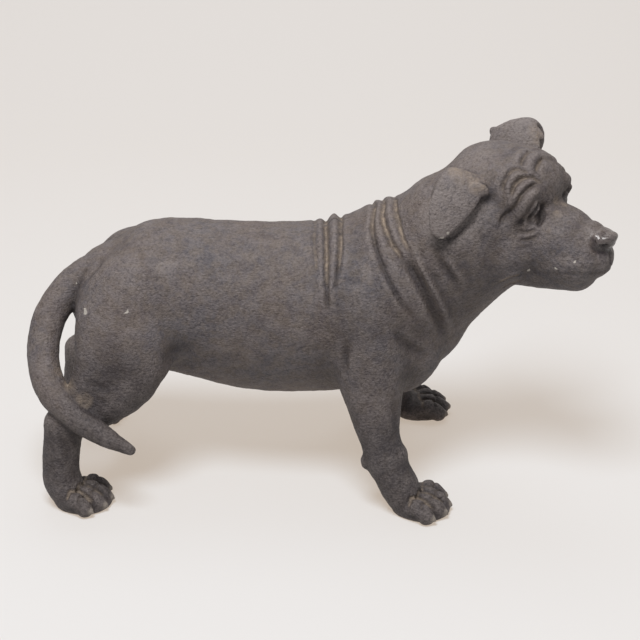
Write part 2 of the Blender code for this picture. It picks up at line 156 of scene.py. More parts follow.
class Clay:
    """Overlapping closed shapes that are later fused into one skin."""

    ROUNDING = (80, 60, 40, 20)

    def __init__(self) -> None:
        """Starts with no shape."""
        self.mesh = bmesh.new()

    def loft(
        self,
        stations: Rows,
        wide_axis: Point = (0, 1, 0),
        place: Matrix | None = None,
        sides: int = 28,
        rings_per_span: int = 6,
    ) -> None:
        """Adds a closed tube with rounded ends.

        Args:
            stations: Rows of x, y, z, half width and half depth.
            wide_axis: The way that the width lies; the depth lies across it.
            place: A transform from the stations' axes to the figure's.
            sides: How many points there are in a ring.
            rings_per_span: How many rings there are from station to station.
        """
        rows = spline(stations, rings_per_span)
        tangents = np.gradient(rows[:, :3], axis=0)
        tangents /= np.linalg.norm(tangents, axis=1)[:, None]
        rings = []
        for row, along in zip(rows, tangents):
            tangent = Vector(along)
            wide = Vector(wide_axis)
            wide = (wide - wide.dot(tangent) * tangent).normalized()
            rings.append((Vector(row[:3]), tangent, wide, tangent.cross(wide), row[3], row[4]))
        made = [self._ring(ring, place, sides) for ring in self._with_round_ends(rings)]
        for low, high in zip(made, made[1:]):
            for side in range(sides):
                after = (side + 1) % sides
                self.mesh.faces.new((low[side], low[after], high[after], high[side]))
        self.mesh.faces.new(list(reversed(made[0])))
        self.mesh.faces.new(made[-1])

    def _ring(self, ring: tuple, place: Matrix | None, sides: int) -> list:
        """Adds one ring of points.

        Args:
            ring: Its centre, three axes, half width, half depth and share of its full size.
            place: A transform from its axes to the figure's.
            sides: How many points it has.

        Returns:
            The points, in order.
        """
        centre, _, wide, deep, width, depth, grow = ring
        made = []
        for side in range(sides):
            angle = math.tau * side / sides
            point = centre + wide * (width * grow * math.cos(angle)) + deep * (depth * grow * math.sin(angle))
            made.append(self.mesh.verts.new(place @ point if place else point))
        return made

    @staticmethod
    def _with_round_ends(rings: list[tuple]) -> list[tuple]:
        """Rounds the ends of a tube with a few shrinking rings.

        Args:
            rings: The tube's own rings.

        Returns:
            All the rings, each with its share of its full size.
        """
        angles = [math.radians(angle) for angle in Clay.ROUNDING]
        first, last = rings[0], rings[-1]
        front, back = min(first[4], first[5]), min(last[4], last[5])
        start = [(first[0] - first[1] * front * math.sin(a), *first[1:], math.cos(a)) for a in angles]
        end = [(last[0] + last[1] * back * math.sin(a), *last[1:], math.cos(a)) for a in reversed(angles)]
        return start + [(*ring, 1.0) for ring in rings] + end

    def ball(
        self, centre: Point, radii: Point, turn: Point = (0, 0, 0), place: Matrix | None = None
    ) -> None:
        """Adds an ellipsoid.

        Args:
            centre: Its middle.
            radii: Its half sizes along its own axes.
            turn: Its turn about X, Y and Z, in degrees.
            place: A transform from these axes to the figure's.
        """
        matrix = Matrix.Translation(centre)
        for axis, angle in zip("ZYX", reversed(turn)):
            matrix = matrix @ Matrix.Rotation(math.radians(angle), 4, axis)
        matrix = matrix @ Matrix.Diagonal((*radii, 1))
        whole = place @ matrix if place else matrix
        bmesh.ops.create_icosphere(self.mesh, subdivisions=4, radius=1, matrix=whole)

    def add_mesh(self, mesh: bpy.types.Mesh) -> None:
        """Adds a mesh as it is."""
        self.mesh.from_mesh(mesh)

    def into_object(self, name: str) -> bpy.types.Object:
        """Makes an object of the clay, which is then used up.

        Args:
            name: The object's name.

        Returns:
            The new object, linked to the scene.
        """
        mesh = bpy.data.meshes.new(name)
        self.mesh.to_mesh(mesh)
        self.mesh.free()
        obj = bpy.data.objects.new(name, mesh)
        bpy.context.scene.collection.objects.link(obj)
        return obj


@dataclass(frozen=True)
class Fold:
    """A ridge or a crease along a path, which is written down for the right side.

    Attributes:
        path: Points near the skin, in order.
        width: How far it spreads to each side.
        height: How far the skin rises in the middle; below zero it sinks.
        wash: How much ochre wash is left along it.
        washed: The share of the path that the wash reaches, from its start.
        met: Whether the path starts in the middle and meets its mirror image there.
        overlap: Whether the skin overlaps itself: it rises ahead of the path and sinks behind it.
        left: How strong its mirror image on the left is.
        fade: The share of the path over which each end dies away.
    """

    path: Rows
    width: float
    height: float
    wash: float = 0.0
    washed: float = 1.0
    met: bool = False
    overlap: bool = False
    left: float = 1.0
    fade: float = 0.18


class Skin:
    """The figure's skin, which is worked on with folds, dents and paints.

    Attributes:
        STEPS: How many samples a path has from point to point.
        REACH: How many of its own widths a mark reaches.
        LIP: How far to each side of an overlap it rises and sinks, in its widths.
        WASH_FADE: The share of a path over which its wash dies away.
    """

    STEPS = 12
    REACH = 3
    LIP = 0.9
    WASH_FADE = 0.25

    def __init__(self, obj: bpy.types.Object) -> None:
        """Reads the object's mesh.

        Args:
            obj: The figure, in its units.
        """
        self.mesh = obj.data
        self.points = np.array([vertex.co for vertex in self.mesh.vertices])
        self.normals = np.array([vertex.normal for vertex in self.mesh.vertices])
        faces = [face.vertices[:] for face in self.mesh.polygons]
        self.tree = BVHTree.FromPolygons(self.points.tolist(), faces)
        self.moves = np.zeros(len(self.points))
        self.paints = {paint: np.zeros(len(self.points)) for paint in Paint}

    def work(self, folds: list[Fold], place: Matrix | None = None) -> None:
        """Works folds into both sides of the skin.

        Args:
            folds: The folds, as they run on the right side.
            place: A transform from their axes to the figure's.
        """
        for fold in folds:
            for side in Side:
                self.stroke(fold, place, side)

    def stroke(self, fold: Fold, place: Matrix | None = None, side: Side = Side.RIGHT) -> None:
        """Works one fold into one side of the skin.

        Args:
            fold: The fold, as it runs on the right side.
            place: A transform from its axes to the figure's.
            side: The side that it is laid on.
        """
        samples, across = self._laid_on_skin(spline(on_side(fold.path, side), self.STEPS), place)
        near = self._near(samples, self.REACH * fold.width)
        nearest, distance = self._nearest(near, samples)
        done = nearest / (len(samples) - 1)
        ends = np.clip((1 - done if fold.met else np.minimum(done, 1 - done)) / fold.fade, 0, 1)
        ends = ends * ends * (3 - 2 * ends) * (fold.left if side is Side.LEFT else 1.0)
        if fold.met:
            ends = ends * (nearest > 0)
        distance = distance / fold.width
        form = np.exp(-(distance**2))
        if fold.overlap:
            offsets = self.points[near] - samples[nearest]
            sideways = -side.value * np.einsum("ij,ij->i", offsets, across[nearest]) / fold.width
            form = np.exp(-((sideways - self.LIP) ** 2)) - np.exp(-((sideways + self.LIP) ** 2))
            form *= np.exp(-((distance / 2) ** 4))
        self.moves[near] += fold.height * form * ends
        reached = np.clip((fold.washed - done) / self.WASH_FADE + 0.5, 0, 1) if fold.washed < 1 else 1.0
        share = fold.wash * np.exp(-(distance**2)) * ends * reached
        self.paints[Paint.WASH][near] = np.maximum(self.paints[Paint.WASH][near], share)

    def _near(self, samples: np.ndarray, reach: float) -> np.ndarray:
        """The numbers of the points in a box around the samples, grown by the reach."""
        low, high = samples.min(axis=0) - reach, samples.max(axis=0) + reach
        return np.nonzero(np.all((self.points > low) & (self.points < high), axis=1))[0]

    def _nearest(self, near: np.ndarray, samples: np.ndarray) -> tuple[np.ndarray, np.ndarray]:
        """Finds which sample is nearest to each of the numbered points.

        Args:
            near: The points' numbers.
            samples: The samples.

        Returns:
            The nearest sample's number, and how far it is, for each point.
        """
        best = np.full(len(near), np.inf)
        nearest = np.zeros(len(near), int)
        for number, sample in enumerate(samples):
            distance = np.linalg.norm(self.points[near] - sample, axis=1)
            closer = distance < best
            best[closer] = distance[closer]
            nearest[closer] = number
        return nearest, best

    def _laid_on_skin(self, points: np.ndarray, place: Matrix | None) -> tuple[np.ndarray, np.ndarray]:
        """Moves a path on to the skin.

        Args:
            points: The path's points.
            place: A transform from their axes to the figure's.

        Returns:
            The points on the skin, and the direction across the path at each.
        """
        placed = [place @ Vector(point) if place else Vector(point) for point in points]
        found = [self.tree.find_nearest(point) for point in placed]
        samples = np.array([spot[0] for spot in found])
        normals = np.array([spot[1] for spot in found])
        across = np.cross(normals, np.gradient(samples, axis=0))
        across /= np.linalg.norm(across, axis=1)[:, None] + 1e-9
        return samples, across

    def _from(self, centre: Point, place: Matrix | None) -> np.ndarray:
        """How far each point is from a centre."""
        return np.linalg.norm(self.points - np.array(place @ Vector(centre) if place else centre), axis=1)

    def dent(self, centre: Point, radius: float, height: float, place: Matrix | None = None) -> None:
        """Raises a round patch of skin, or sinks it where the height is below zero."""
        distance = self._from(centre, place) / radius
        self.moves += height * np.exp(-(distance**2)) * (distance < self.REACH)

    def paint(
        self, paint: Paint, centre: Point, radius: float, share: float, place: Matrix | None = None
    ) -> None:
        """Gives a round patch of skin some share of a paint, which dies away at its edge."""
        distance = self._from(centre, place) / radius
        self.paints[paint] = np.maximum(self.paints[paint], share * np.clip(2 - 2 * distance, 0, 1))

    def chip(self, centres: Rows, radius: float, place: Matrix | None = None) -> None:
        """Chips the paint off the skin.

        Args:
            centres: Points on the skin, or close to it.
            radius: How wide each chip is.
            place: A transform from the points' axes to the figure's.
        """
        for centre in centres:
            spot, *_ = self.tree.find_nearest(place @ Vector(centre) if place else Vector(centre))
            self.paint(Paint.CHIP, spot, radius, 1.0)

    def ripple(self, height: float, wavelength: float, seed: Point) -> None:
        """Gives the whole skin the slight unevenness of a hand-worked surface.

        Args:
            height: How far it rises and sinks.
            wavelength: How far it is from rise to rise.
            seed: Where the unevenness is taken from.
        """
        offset = Vector(seed)
        values = [noise.noise(Vector(point) / wavelength + offset) for point in self.points]
        self.moves += height * np.array(values)

    def settle(self) -> None:
        """Moves the skin by all that was asked for."""
        self.points = self.points + self.normals * self.moves[:, None]
        self.moves = np.zeros(len(self.points))
        self.mesh.vertices.foreach_set("co", self.points.ravel())
        self.mesh.update()

    def tree_of_points(self) -> KDTree:
        """Makes a search tree of the skin's points.

        Returns:
            The tree, in the figure's units.
        """
        tree = KDTree(len(self.points))
        for number, point in enumerate(self.points):
            tree.insert(point, number)
        tree.balance()
        return tree


@dataclass
class Trunk:
    """The barrel and the neck, with the loose skin that folds over them.

    Attributes:
        barrel: Stations from rump to breast.
        neck: Stations from the breast to the skull.
        roll: The thick fold over the withers.
        ahead: The crease ahead of it.
        behind: The crease behind it.
        first: The hindmost crease round the neck, which runs down to the shoulder.
        second: The crease ahead of it.
        third: The crease ahead of that.
        flap: The edge of the big fold that hangs to the breast.
    """

    barrel: tuple[Station, ...] = (
        (-97, 0, 91.5, 27, 28.5), (-84, 0, 92, 34, 37), (-69, 0, 91.5, 35, 39),
        (-50, 0, 88.4, 34.5, 41.2), (-30, 0, 85.4, 35.5, 43.2), (-10, 0, 85.2, 38, 43.2),
        (10, 0, 86, 40, 42.5), (30, 0, 86.5, 38, 40), (44, 0, 85, 31, 33),
    )
    neck: tuple[Station, ...] = (
        (30, 0, 94, 39, 41), (41, -0.5, 101.5, 37, 40), (52, -1.5, 109, 34, 38), (62, -4, 117.5, 31, 35),
        (71, -7, 127.5, 29, 34.5), (80, -9, 136.5, 27, 30.5),
    )
    roll: tuple[Point, ...] = (
        (7.2, 0, 130), (7.1, -14.6, 128.2), (7.1, -23, 123.9), (6.6, -29.5, 118.8), (6.1, -34.2, 113.2),
        (5.2, -37.8, 106), (4.2, -40, 98.3),
    )
    ahead: tuple[Point, ...] = (
        (10.8, 0, 130), (10.2, -17.3, 125.2), (9.4, -24.7, 120.5), (8.5, -30.4, 115.6),
        (7, -35.5, 109.6), (5.6, -38.5, 103.8),
    )
    behind: tuple[Point, ...] = (
        (2.9, 0, 129.5), (3.3, -19.2, 124.9), (3.3, -26.1, 120), (3.3, -31.8, 114.7),
        (3.5, -36.6, 109.1), (3.7, -39.2, 102.6), (4, -40.2, 96.3),
    )
    first: tuple[Point, ...] = (
        (26.4, 0, 139), (25.2, -9, 138.5), (24.1, -18.6, 134.3), (26.8, -27.5, 125.6),
        (31.4, -33.3, 115.3), (38.5, -37.2, 103.2), (44.3, -36.7, 95.8), (49.4, -34.4, 87.6),
    )
    second: tuple[Point, ...] = (
        (31, 0, 141), (30, -8, 139.5), (29.6, -14.6, 137.8), (32.4, -25.1, 131.7), (35.1, -29.1, 128.3),
        (38.4, -31.2, 123.6), (42.2, -32.3, 116.9), (46, -34.5, 110),
    )
    third: tuple[Point, ...] = (
        (36, 0, 143), (35.8, -8, 141.5), (36.1, -16.1, 139.4), (36.9, -21.5, 136.4),
        (38.4, -25.6, 132.4), (40.7, -29.5, 127.9), (43.4, -33.2, 122.9),
    )
    flap: tuple[Point, ...] = (
        (39.8, -27.7, 130.7), (42.9, -32.7, 124.7), (45.8, -34.6, 118.4), (48.7, -35.6, 113.2),
        (51.6, -36.1, 107.8), (54.6, -35.4, 101.4), (57.4, -33, 94.2), (60.3, -28.1, 85.7),
        (62.9, -22.5, 77.9),
    )

    def build(self, clay: Clay) -> None:
        """Adds the barrel and the neck to the clay."""
        clay.loft(self.barrel)
        clay.loft(self.neck)

    def carve(self, skin: Skin) -> None:
        """Works in the folds, and paints the scuffs of the back.

        Args:
            skin: The figure's skin.
        """
        skin.work(self._withers())
        skin.work(self._neck())
        skin.paint(Paint.DUST_AND_SHEEN, (22.5, -32.9, 116.7), 5, 0.6)
        skin.paint(Paint.DUST_AND_SHEEN, (-73.2, -26.3, 117.6), 6, 0.5)

    def _withers(self) -> list[Fold]:
        """Makes the thick roll behind the shoulders, between two creases, with a thin one behind it.

        Returns:
            The folds.
        """
        faint = [(-1.9, 0, 128), (-2.6, -15.5, 126), (-1.9, -25, 120.5), (-1.5, -32, 113)]
        return [
            Fold(self.roll, 3.1, 2.9, met=True, fade=0.25),
            Fold(self.ahead, 1.2, -1.7, wash=0.8, washed=0.5, met=True, fade=0.3),
            Fold(self.behind, 1.2, -1.8, wash=1.0, washed=0.55, met=True, fade=0.3),
            Fold(moved(self.behind, 3), 1.8, 0.9, met=True, fade=0.4),
            Fold(moved(self.ahead, -3), 1.8, 0.6, met=True, fade=0.4),
            Fold(faint, 1.0, -0.6, wash=0.5, met=True, fade=0.3),
        ]

    def _neck(self) -> list[Fold]:
        """Makes the folds that ring the neck, and the big one that hangs to the breast.

        Returns:
            The folds.
        """
        bunched = 0.55  # the head turns right, so the left side bunches less
        throat = [
            (52.1, -33.8, 129.1), (56, -34.3, 123.3), (59.8, -35, 118), (63.3, -34.7, 111.9),
            (67, -32.8, 103.9),
        ]
        return [
            Fold(self.first, 1.25, -1.7, wash=0.8, washed=0.35, met=True, left=bunched, fade=0.45),
            Fold(self.second, 1.2, -1.5, wash=1.0, washed=0.7, met=True, left=bunched, fade=0.4),
            Fold(self.third, 1.15, -1.3, wash=0.85, met=True, left=bunched, fade=0.3),
            Fold(moved(self.first, 2.8), 2.0, 0.8, met=True, left=bunched, fade=0.5),
            Fold(halfway(self.first[:7], self.second[:7]), 2.1, 1.5, met=True, left=bunched, fade=0.35),
            Fold(halfway(self.second[:7], self.third), 1.9, 1.3, met=True, left=bunched, fade=0.35),
            Fold(self.flap, 2.6, 2.7, overlap=True, left=bunched, fade=0.3),
            Fold(moved(self.flap, -0.6), 1.0, -0.9, wash=0.3, left=bunched, fade=0.4),
            Fold(throat, 2.4, -1.5, left=bunched, fade=0.4),
            Fold(moved(throat, -4), 2.4, 0.9, left=bunched, fade=0.4),
        ]


@dataclass
class Head:
    """The skull, jaws, nose, eyes and brow, in the head's own frame.

    Attributes:
        muzzle: Stations of the upper jaw.
        jaw: Stations of the lower jaw.
        lips: The line between the lips, from the front to the corner.
        eye: The eyeball's ridge, from its inner corner.
        eye_shadow: The dark line inside it.
        outer_lid: The lid outside it.
    """

    muzzle: tuple[Station, ...] = (
        (8, 0, -15, 24, 21), (26, 0, -17.5, 20, 19), (39, 0, -19, 16.5, 17), (44, 0, -19, 14, 15),
    )
    jaw: tuple[Station, ...] = (
        (0, 0, -29, 20, 16), (20, 0, -30, 17.5, 12.5), (37, 0, -30.5, 14, 9.5), (42, 0, -30.5, 12.5, 9),
    )
    lips: tuple[Point, ...] = (
        (57, 0, -24), (55.1, -4.6, -24.5), (53.1, -10.2, -25.2), (48.5, -15.8, -25.5),
        (39.7, -18.8, -26.7), (30.5, -18.3, -29.3), (23.6, -19.3, -30.7),
    )
    eye: tuple[Point, ...] = (
        (26.3, -12, 3.5), (25.1, -14, -0.6), (24, -16.3, -5.5),
    )
    eye_shadow: tuple[Point, ...] = (
        (27.2, -8.5, 3.4), (28, -10.6, -0.6), (28, -13.4, -4), (27.3, -16.4, -6.3),
    )
    outer_lid: tuple[Point, ...] = (
        (25.2, -14.1, 6.3), (24.8, -16.5, 2.1), (23.4, -18.1, -2.7), (22.7, -20, -7.2),
    )

    def build(self, clay: Clay) -> None:
        """Adds the skull, brows, cheeks and jaws.

        Args:
            clay: The clay that they are added to.
        """
        clay.ball((-3, 0, -1), (28.5, 28.5, 25.5), place=HEAD)
        clay.ball((-10, 2, 2), (21, 22, 21), place=HEAD)
        clay.ball((8.5, 0, 6), (20, 23, 18), place=HEAD)
        clay.ball((46.5, 0, -22), (12.5, 12.5, 10), place=HEAD)
        for side in Side:
            clay.ball((3, side.value * 14, -20), (25, 15, 20), place=HEAD)
            clay.ball((16, side.value * 11.2, 4.8), (11.5, 12.5, 10), place=HEAD)
            clay.ball((37, side.value * 7, -22.5), (18, 11, 13), place=HEAD)
        clay.loft(self.muzzle, place=HEAD)
        clay.loft(self.jaw, place=HEAD)

    def build_nose(self, clay: Clay) -> None:
        """Adds the nose pad, a wedge with its tip at the top.

        Args:
            clay: The clay that it is added to.
        """
        clay.ball((47.5, 0, -9), (6.5, 8, 4.8), turn=(0, 16, 0), place=HEAD)
        clay.ball((53.2, 0, -10.4), (6.8, 7.6, 4.4), turn=(0, 16, 0), place=HEAD)
        clay.ball((57.4, 0, -9.4), (3.2, 5.4, 2.7), place=HEAD)
        clay.ball((51.8, 0, -13.2), (5.4, 6.8, 5.2), place=HEAD)

    def carve(self, skin: Skin) -> None:
        """Works in the face, and paints its polished places, its darker nose and lower face, the painted
        shade under its jaw, the painted sheen on its skull, its wash and its chips.

        Args:
            skin: The figure's skin.
        """
        skin.work(self._brow() + self._eyes() + self._mouth(), HEAD)
        for side in Side:
            skin.dent((26, side.value * 12.5, -1), 5, -2, place=HEAD)
            skin.dent((57.8, side.value * 4.4, -12.6), 1.5, -2.2, place=HEAD)
            skin.paint(Paint.POLISH, (25.2, side.value * 14, -0.8), 3.6, 0.7, place=HEAD)
            skin.paint(Paint.POLISH, (57, side.value * 4, -10.5), 10, 1.0, place=HEAD)
            # the nose painted darker, the lower face darker towards the bottom, and painted shade under the
            # jaw
            skin.paint(Paint.SHADE_AND_GRIME, (57, side.value * 4, -12), 8, 1.0, place=HEAD)
            skin.paint(Paint.SHADE_AND_GRIME, (34, side.value * 18, -18), 46, 0.36, place=HEAD)
            skin.paint(Paint.SHADE_AND_GRIME, (-8, side.value * 28, -34), 30, 0.45, place=HEAD)
        # painted sheen: a paler patch on the top of the skull
        skin.paint(Paint.DUST_AND_SHEEN, (-9.5, -14, 19), 12, 0.5, place=HEAD)
        for centre in ((28, -1.3, 2.3), (31, 2.1, -0.4), (33.4, -6.4, -0.9), (32.8, -15.6, -6.2)):
            skin.paint(Paint.WASH, centre, 3.5, 0.5, place=HEAD)
        chips = [(39.1, -18.6, -23.7), (48.4, -16.3, -18.7), (53.6, -12, -22.8), (27.7, -20.5, -29.4)]
        skin.chip(chips, 0.9, HEAD)

    @staticmethod
    def _brow() -> list[Fold]:
        """Makes the wrinkles of the forehead and the folds over each eye.

        Returns:
            The folds.
        """
        outer = [
            (12.2, -25.3, 7.6), (12, -23.5, 11.9), (12.2, -20.9, 16.1), (12.5, -16.4, 17.8),
            (14.9, -14.2, 18.9), (18.5, -13.1, 18.2), (21.3, -12.2, 15.9),
        ]
        inner = [
            (17.1, -25.3, 7.2), (17, -23.3, 10.5), (16.9, -19.9, 12.9), (17.8, -16.8, 14.7),
            (19.5, -14.4, 15.6), (21.4, -12.2, 15.7), (23.9, -10.1, 13.7), (25.8, -8.4, 10.7),
        ]
        low = [
            (14.4, -27.4, -8.4), (15.4, -26.8, -4.5), (17.2, -25.6, -0.5), (20.4, -25.2, 3.5),
            (21.9, -23.6, 7.3), (22.4, -21.3, 10.4), (23.1, -17.3, 12.3), (23.7, -12.2, 12.5),
            (25.4, -9.6, 10.9),
        ]
        inner_roll = [
            (17.9, -24.3, -8.5), (18.6, -21.6, -4.8), (20.9, -20.4, -0.2), (23.2, -20.2, 4.2),
            (24.3, -17.9, 7.7), (24.8, -13.8, 9.3), (26.3, -8.9, 8),
        ]
        middle_roll = [
            (15.3, -26.9, -2), (17.4, -26.4, 4.2), (19.5, -25, 8.6), (20.6, -22, 11.9),
            (21.4, -17.4, 13.7), (22.5, -12, 13.4), (25.2, -9.4, 11.6),
        ]
        outer_roll = [
            (14.5, -24.7, 8.4), (14.3, -22.2, 12), (15.3, -19.7, 15.4), (17.1, -16.8, 17.2),
            (19.2, -14, 17.1), (21.6, -11.8, 15.6),
        ]
        high = [(12.5, 0, 22.8), (13, -4.5, 22.6), (14.1, -9.7, 21.2), (16.4, -13.2, 19.2)]
        forehead_roll = [(16.5, 0, 21.6), (17, -4, 21), (17.7, -8.3, 20.1), (20.1, -12.9, 17.5)]
        middle = [(18.7, 0, 19.7), (19.3, -3, 19.4), (20.5, -6.3, 18.7), (22.2, -10.1, 16.2)]
        top = [(5.9, 0, 23.4), (6, -3.5, 23.3), (6.2, -6.7, 23.2)]
        root = [(24.7, 0, 14.7), (24.2, -1.8, 15.1), (22.7, -3.8, 16)]
        far = 0.3  # the left brow is smoother
        return [
            Fold(outer, 1.05, -1.5, wash=0.55, left=far, fade=0.2),
            Fold(inner, 1.05, -1.6, wash=0.6, left=far, fade=0.2),
            Fold(low, 1.05, -1.6, wash=0.4, left=far, fade=0.2),
            Fold(outer_roll, 1.9, 1.3, left=far, fade=0.3),
            Fold(middle_roll, 1.8, 1.3, left=far, fade=0.3),
            Fold(inner_roll, 2.2, 1.8, left=far, fade=0.25),
            Fold(moved(outer, 2.8), 1.9, 0.8, left=far, fade=0.35),
            Fold(high, 1.05, -1.4, wash=0.55, met=True, left=far, fade=0.3),
            Fold(middle, 1.05, -1.5, wash=0.6, met=True, left=far, fade=0.3),
            Fold(forehead_roll, 1.9, 1.3, met=True, left=far, fade=0.35),
            Fold(moved(high, 2.8, up=1), 1.8, 0.7, met=True, left=far, fade=0.35),
            Fold(top, 1.3, -0.5, wash=0.25, met=True, left=far, fade=0.4),
            Fold(root, 1.1, -0.6, wash=0.3, met=True, left=far, fade=0.4),
        ]

    def _eyes(self) -> list[Fold]:
        """Makes the eyes in their sockets, with their lids and the creases under them.

        Returns:
            The folds.
        """
        first = [(19.9, -21.6, -7.9), (22.8, -20.1, -8.6), (26.3, -18.8, -7.7), (27.9, -16.4, -6.1)]
        second = [(22.2, -22.3, -12.1), (25.7, -21, -11.9), (29, -19.5, -9.8), (29.9, -17.8, -7.7)]
        third = [(22.1, -24.4, -15.9), (25.6, -22.2, -15.8), (28.9, -20.8, -13.4)]
        return [
            Fold(self.eye_shadow, 1.1, -1.9),
            Fold(self.eye, 1.6, 2.3, fade=0.3),
            Fold(self.outer_lid, 1.2, 1.4),
            Fold(halfway(self.eye, self.outer_lid[:3]), 0.75, -1.1),
            Fold(first, 0.85, -1.0, wash=0.35),
            Fold(moved(first, 0, up=-1.9), 1.3, 0.7, fade=0.3),
            Fold(second, 0.85, -0.9, wash=0.35),
            Fold(third, 0.9, -0.5, wash=0.2),
        ]

    def _mouth(self) -> list[Fold]:
        """Makes the lips, their corners, the split of the upper lip and the nostrils' slits.

        Returns:
            The folds.
        """
        lip = [
            (57, 0, -19), (55.5, -8, -19.3), (52, -13.6, -20.4), (44.4, -18.5, -20.7),
            (36.4, -20.1, -21.2),
        ]
        corner = [(23.5, -19.2, -31.2), (19.6, -21.6, -31.9), (15.8, -22.3, -34.2), (10.8, -20.2, -38.7)]
        under = [(22.1, -18.3, -34.4), (14.3, -14.1, -39.8), (9.7, -14.6, -42.4)]
        split = [(58.3, -0.3, -16), (58, 0, -19), (57, 0.3, -23.4)]
        slit = [(58, -4.6, -12.8), (57.2, -6.3, -13), (55.6, -7.9, -12.2)]
        wing = [(56.2, -2.2, -17), (55.5, -8.1, -13.9), (53.7, -9.6, -10.4), (51.3, -8.4, -7.2)]
        return [
            Fold(self.lips, 0.9, -0.4, met=True, fade=0.5),
            Fold(lip, 1.9, 0.4, met=True, fade=0.3),
            Fold(corner, 0.9, -0.9, wash=0.9),
            Fold(moved(corner, 0, up=2), 1.6, 0.8, fade=0.3),
            Fold(under, 1.0, -0.7, wash=0.7),
            Fold(split, 0.7, -0.8, left=0.0),
            Fold(slit, 0.75, -1.5),
            Fold(wing, 0.9, -0.9),
        ]


@dataclass
class Ear:
    """One folded ear: it rises from the skull, turns over and hangs.

    Attributes:
        filling: The centre and radii of the flesh at its root.
        flap: Stations from the root over the fold to the tip.
        wide_axis: The way that its width lies.
        corners: The corners of its fold.
        hollow: The middle of the hollow at its root, in the figure's units.
        washed: The middles of its patches of wash.
        wash: The radius of those patches and their share.
        rim: The line of its front edge, where that shows.
        chips: Where its paint is chipped.
        place: A transform from its axes to the figure's.
        corner_radii: The half sizes of a corner.
    """

    filling: tuple[Point, Point]
    flap: Rows
    wide_axis: Point
    corners: tuple[Point, ...]
    hollow: Point
    washed: Rows
    wash: tuple[float, float]
    rim: Rows = ()
    chips: Rows = ()
    place: Matrix | None = None
    corner_radii: Point = (5.5, 1.8, 3.4)

    @classmethod
    def right(cls) -> "Ear":
        """Makes the near ear, which folds down on the neck.

        Returns:
            The ear.
        """
        flap = [
            (70, -14, 151, 10, 5), (69.5, -20, 157.5, 11, 3.8), (67.5, -25.5, 161, 10, 3),
            (65.5, -30.5, 158.8, 11, 2.6), (61.8, -33.8, 153, 10.6, 2.3), (58.8, -35.4, 147.2, 9.1, 2.1),
            (56.6, -36.4, 141.8, 6.8, 2), (55.2, -36.8, 137.4, 4.2, 1.8),
        ]
        rim = [(79, -27, 152), (74.5, -29, 146), (69, -31, 140), (62, -32.5, 135), (56, -33, 132)]
        return cls(
            filling=((63, -21, 151), (10, 8, 11)),
            flap=flap,
            wide_axis=(1, 0.0, -0.4),
            corners=((73.8, -31, 157),),
            hollow=(77.5, -29, 152),
            washed=((65, -27, 163), (72.6, -30, 161)),
            wash=(9, 0.6),
            rim=rim,
            chips=((55.5, -38, 135.7), (57, -38, 136.2), (59.4, -38, 138)),
        )

    @classmethod
    def left(cls) -> "Ear":
        """Makes the far ear, which is raised and folds down on its own side.

        Returns:
            The ear.
        """
        flap = [
            (-8, 17, 11, 11.5, 5), (-8.6, 21.5, 18, 13, 3.8), (-8.2, 24.3, 22.3, 11, 3.3),
            (-8.2, 26.8, 25.4, 7.5, 3), (-8.8, 30, 25.4, 6.8, 2.9), (-10.3, 33.5, 21.5, 9, 2.7),
            (-11.5, 35.5, 14.5, 9.5, 2.5), (-12.8, 36.8, 7, 7, 2.3), (-14, 37, 2, 3.5, 2),
        ]
        return cls(
            filling=((-9, 26, 10), (10, 8, 11)),
            flap=flap,
            wide_axis=(0.92, 0.38, 0.1),
            corners=((-2, 29, 22), (-18, 20.5, 20)),
            hollow=(79, 26, 146),
            washed=((0.8, 28, 22.5), (1.2, 30.5, 18.5), (1.5, 31.5, 14)),
            wash=(8, 1.0),
            place=HEAD,
        )

    def build(self, clay: Clay) -> None:
        """Adds the ear.

        Args:
            clay: The clay that it is added to.
        """
        clay.ball(*self.filling, place=self.place)
        for corner in self.corners:
            clay.ball(corner, self.corner_radii, turn=(0, 30, 0), place=self.place)
        clay.loft(self.flap, wide_axis=self.wide_axis, place=self.place)

    def carve(self, skin: Skin) -> None:
        """Hollows the ear's root, and paints its outside paler, the painted shadow under its front edge where
        that shows, and the wash inside it.

        Args:
            skin: The figure's skin.
        """
        skin.dent(self.hollow, 3.4, -1.8)
        # the outside of the ear painted paler
        middle = self.flap[len(self.flap) // 2 + 1]
        skin.paint(Paint.DUST_AND_SHEEN, middle[:3], 21, 1.0, place=self.place)
        if self.rim:
            skin.stroke(Fold(self.rim, 2.0, -1.8, fade=0.25), self.place)
        # painted shadow under the ear's front edge, besides the groove cut along it
        for centre in self.rim:
            skin.paint(Paint.SHADE_AND_GRIME, centre, 7, 0.9, place=self.place)
        for centre in self.washed:
            skin.paint(Paint.WASH, centre, *self.wash, place=self.place)
        skin.chip(self.chips, 0.9, self.place)


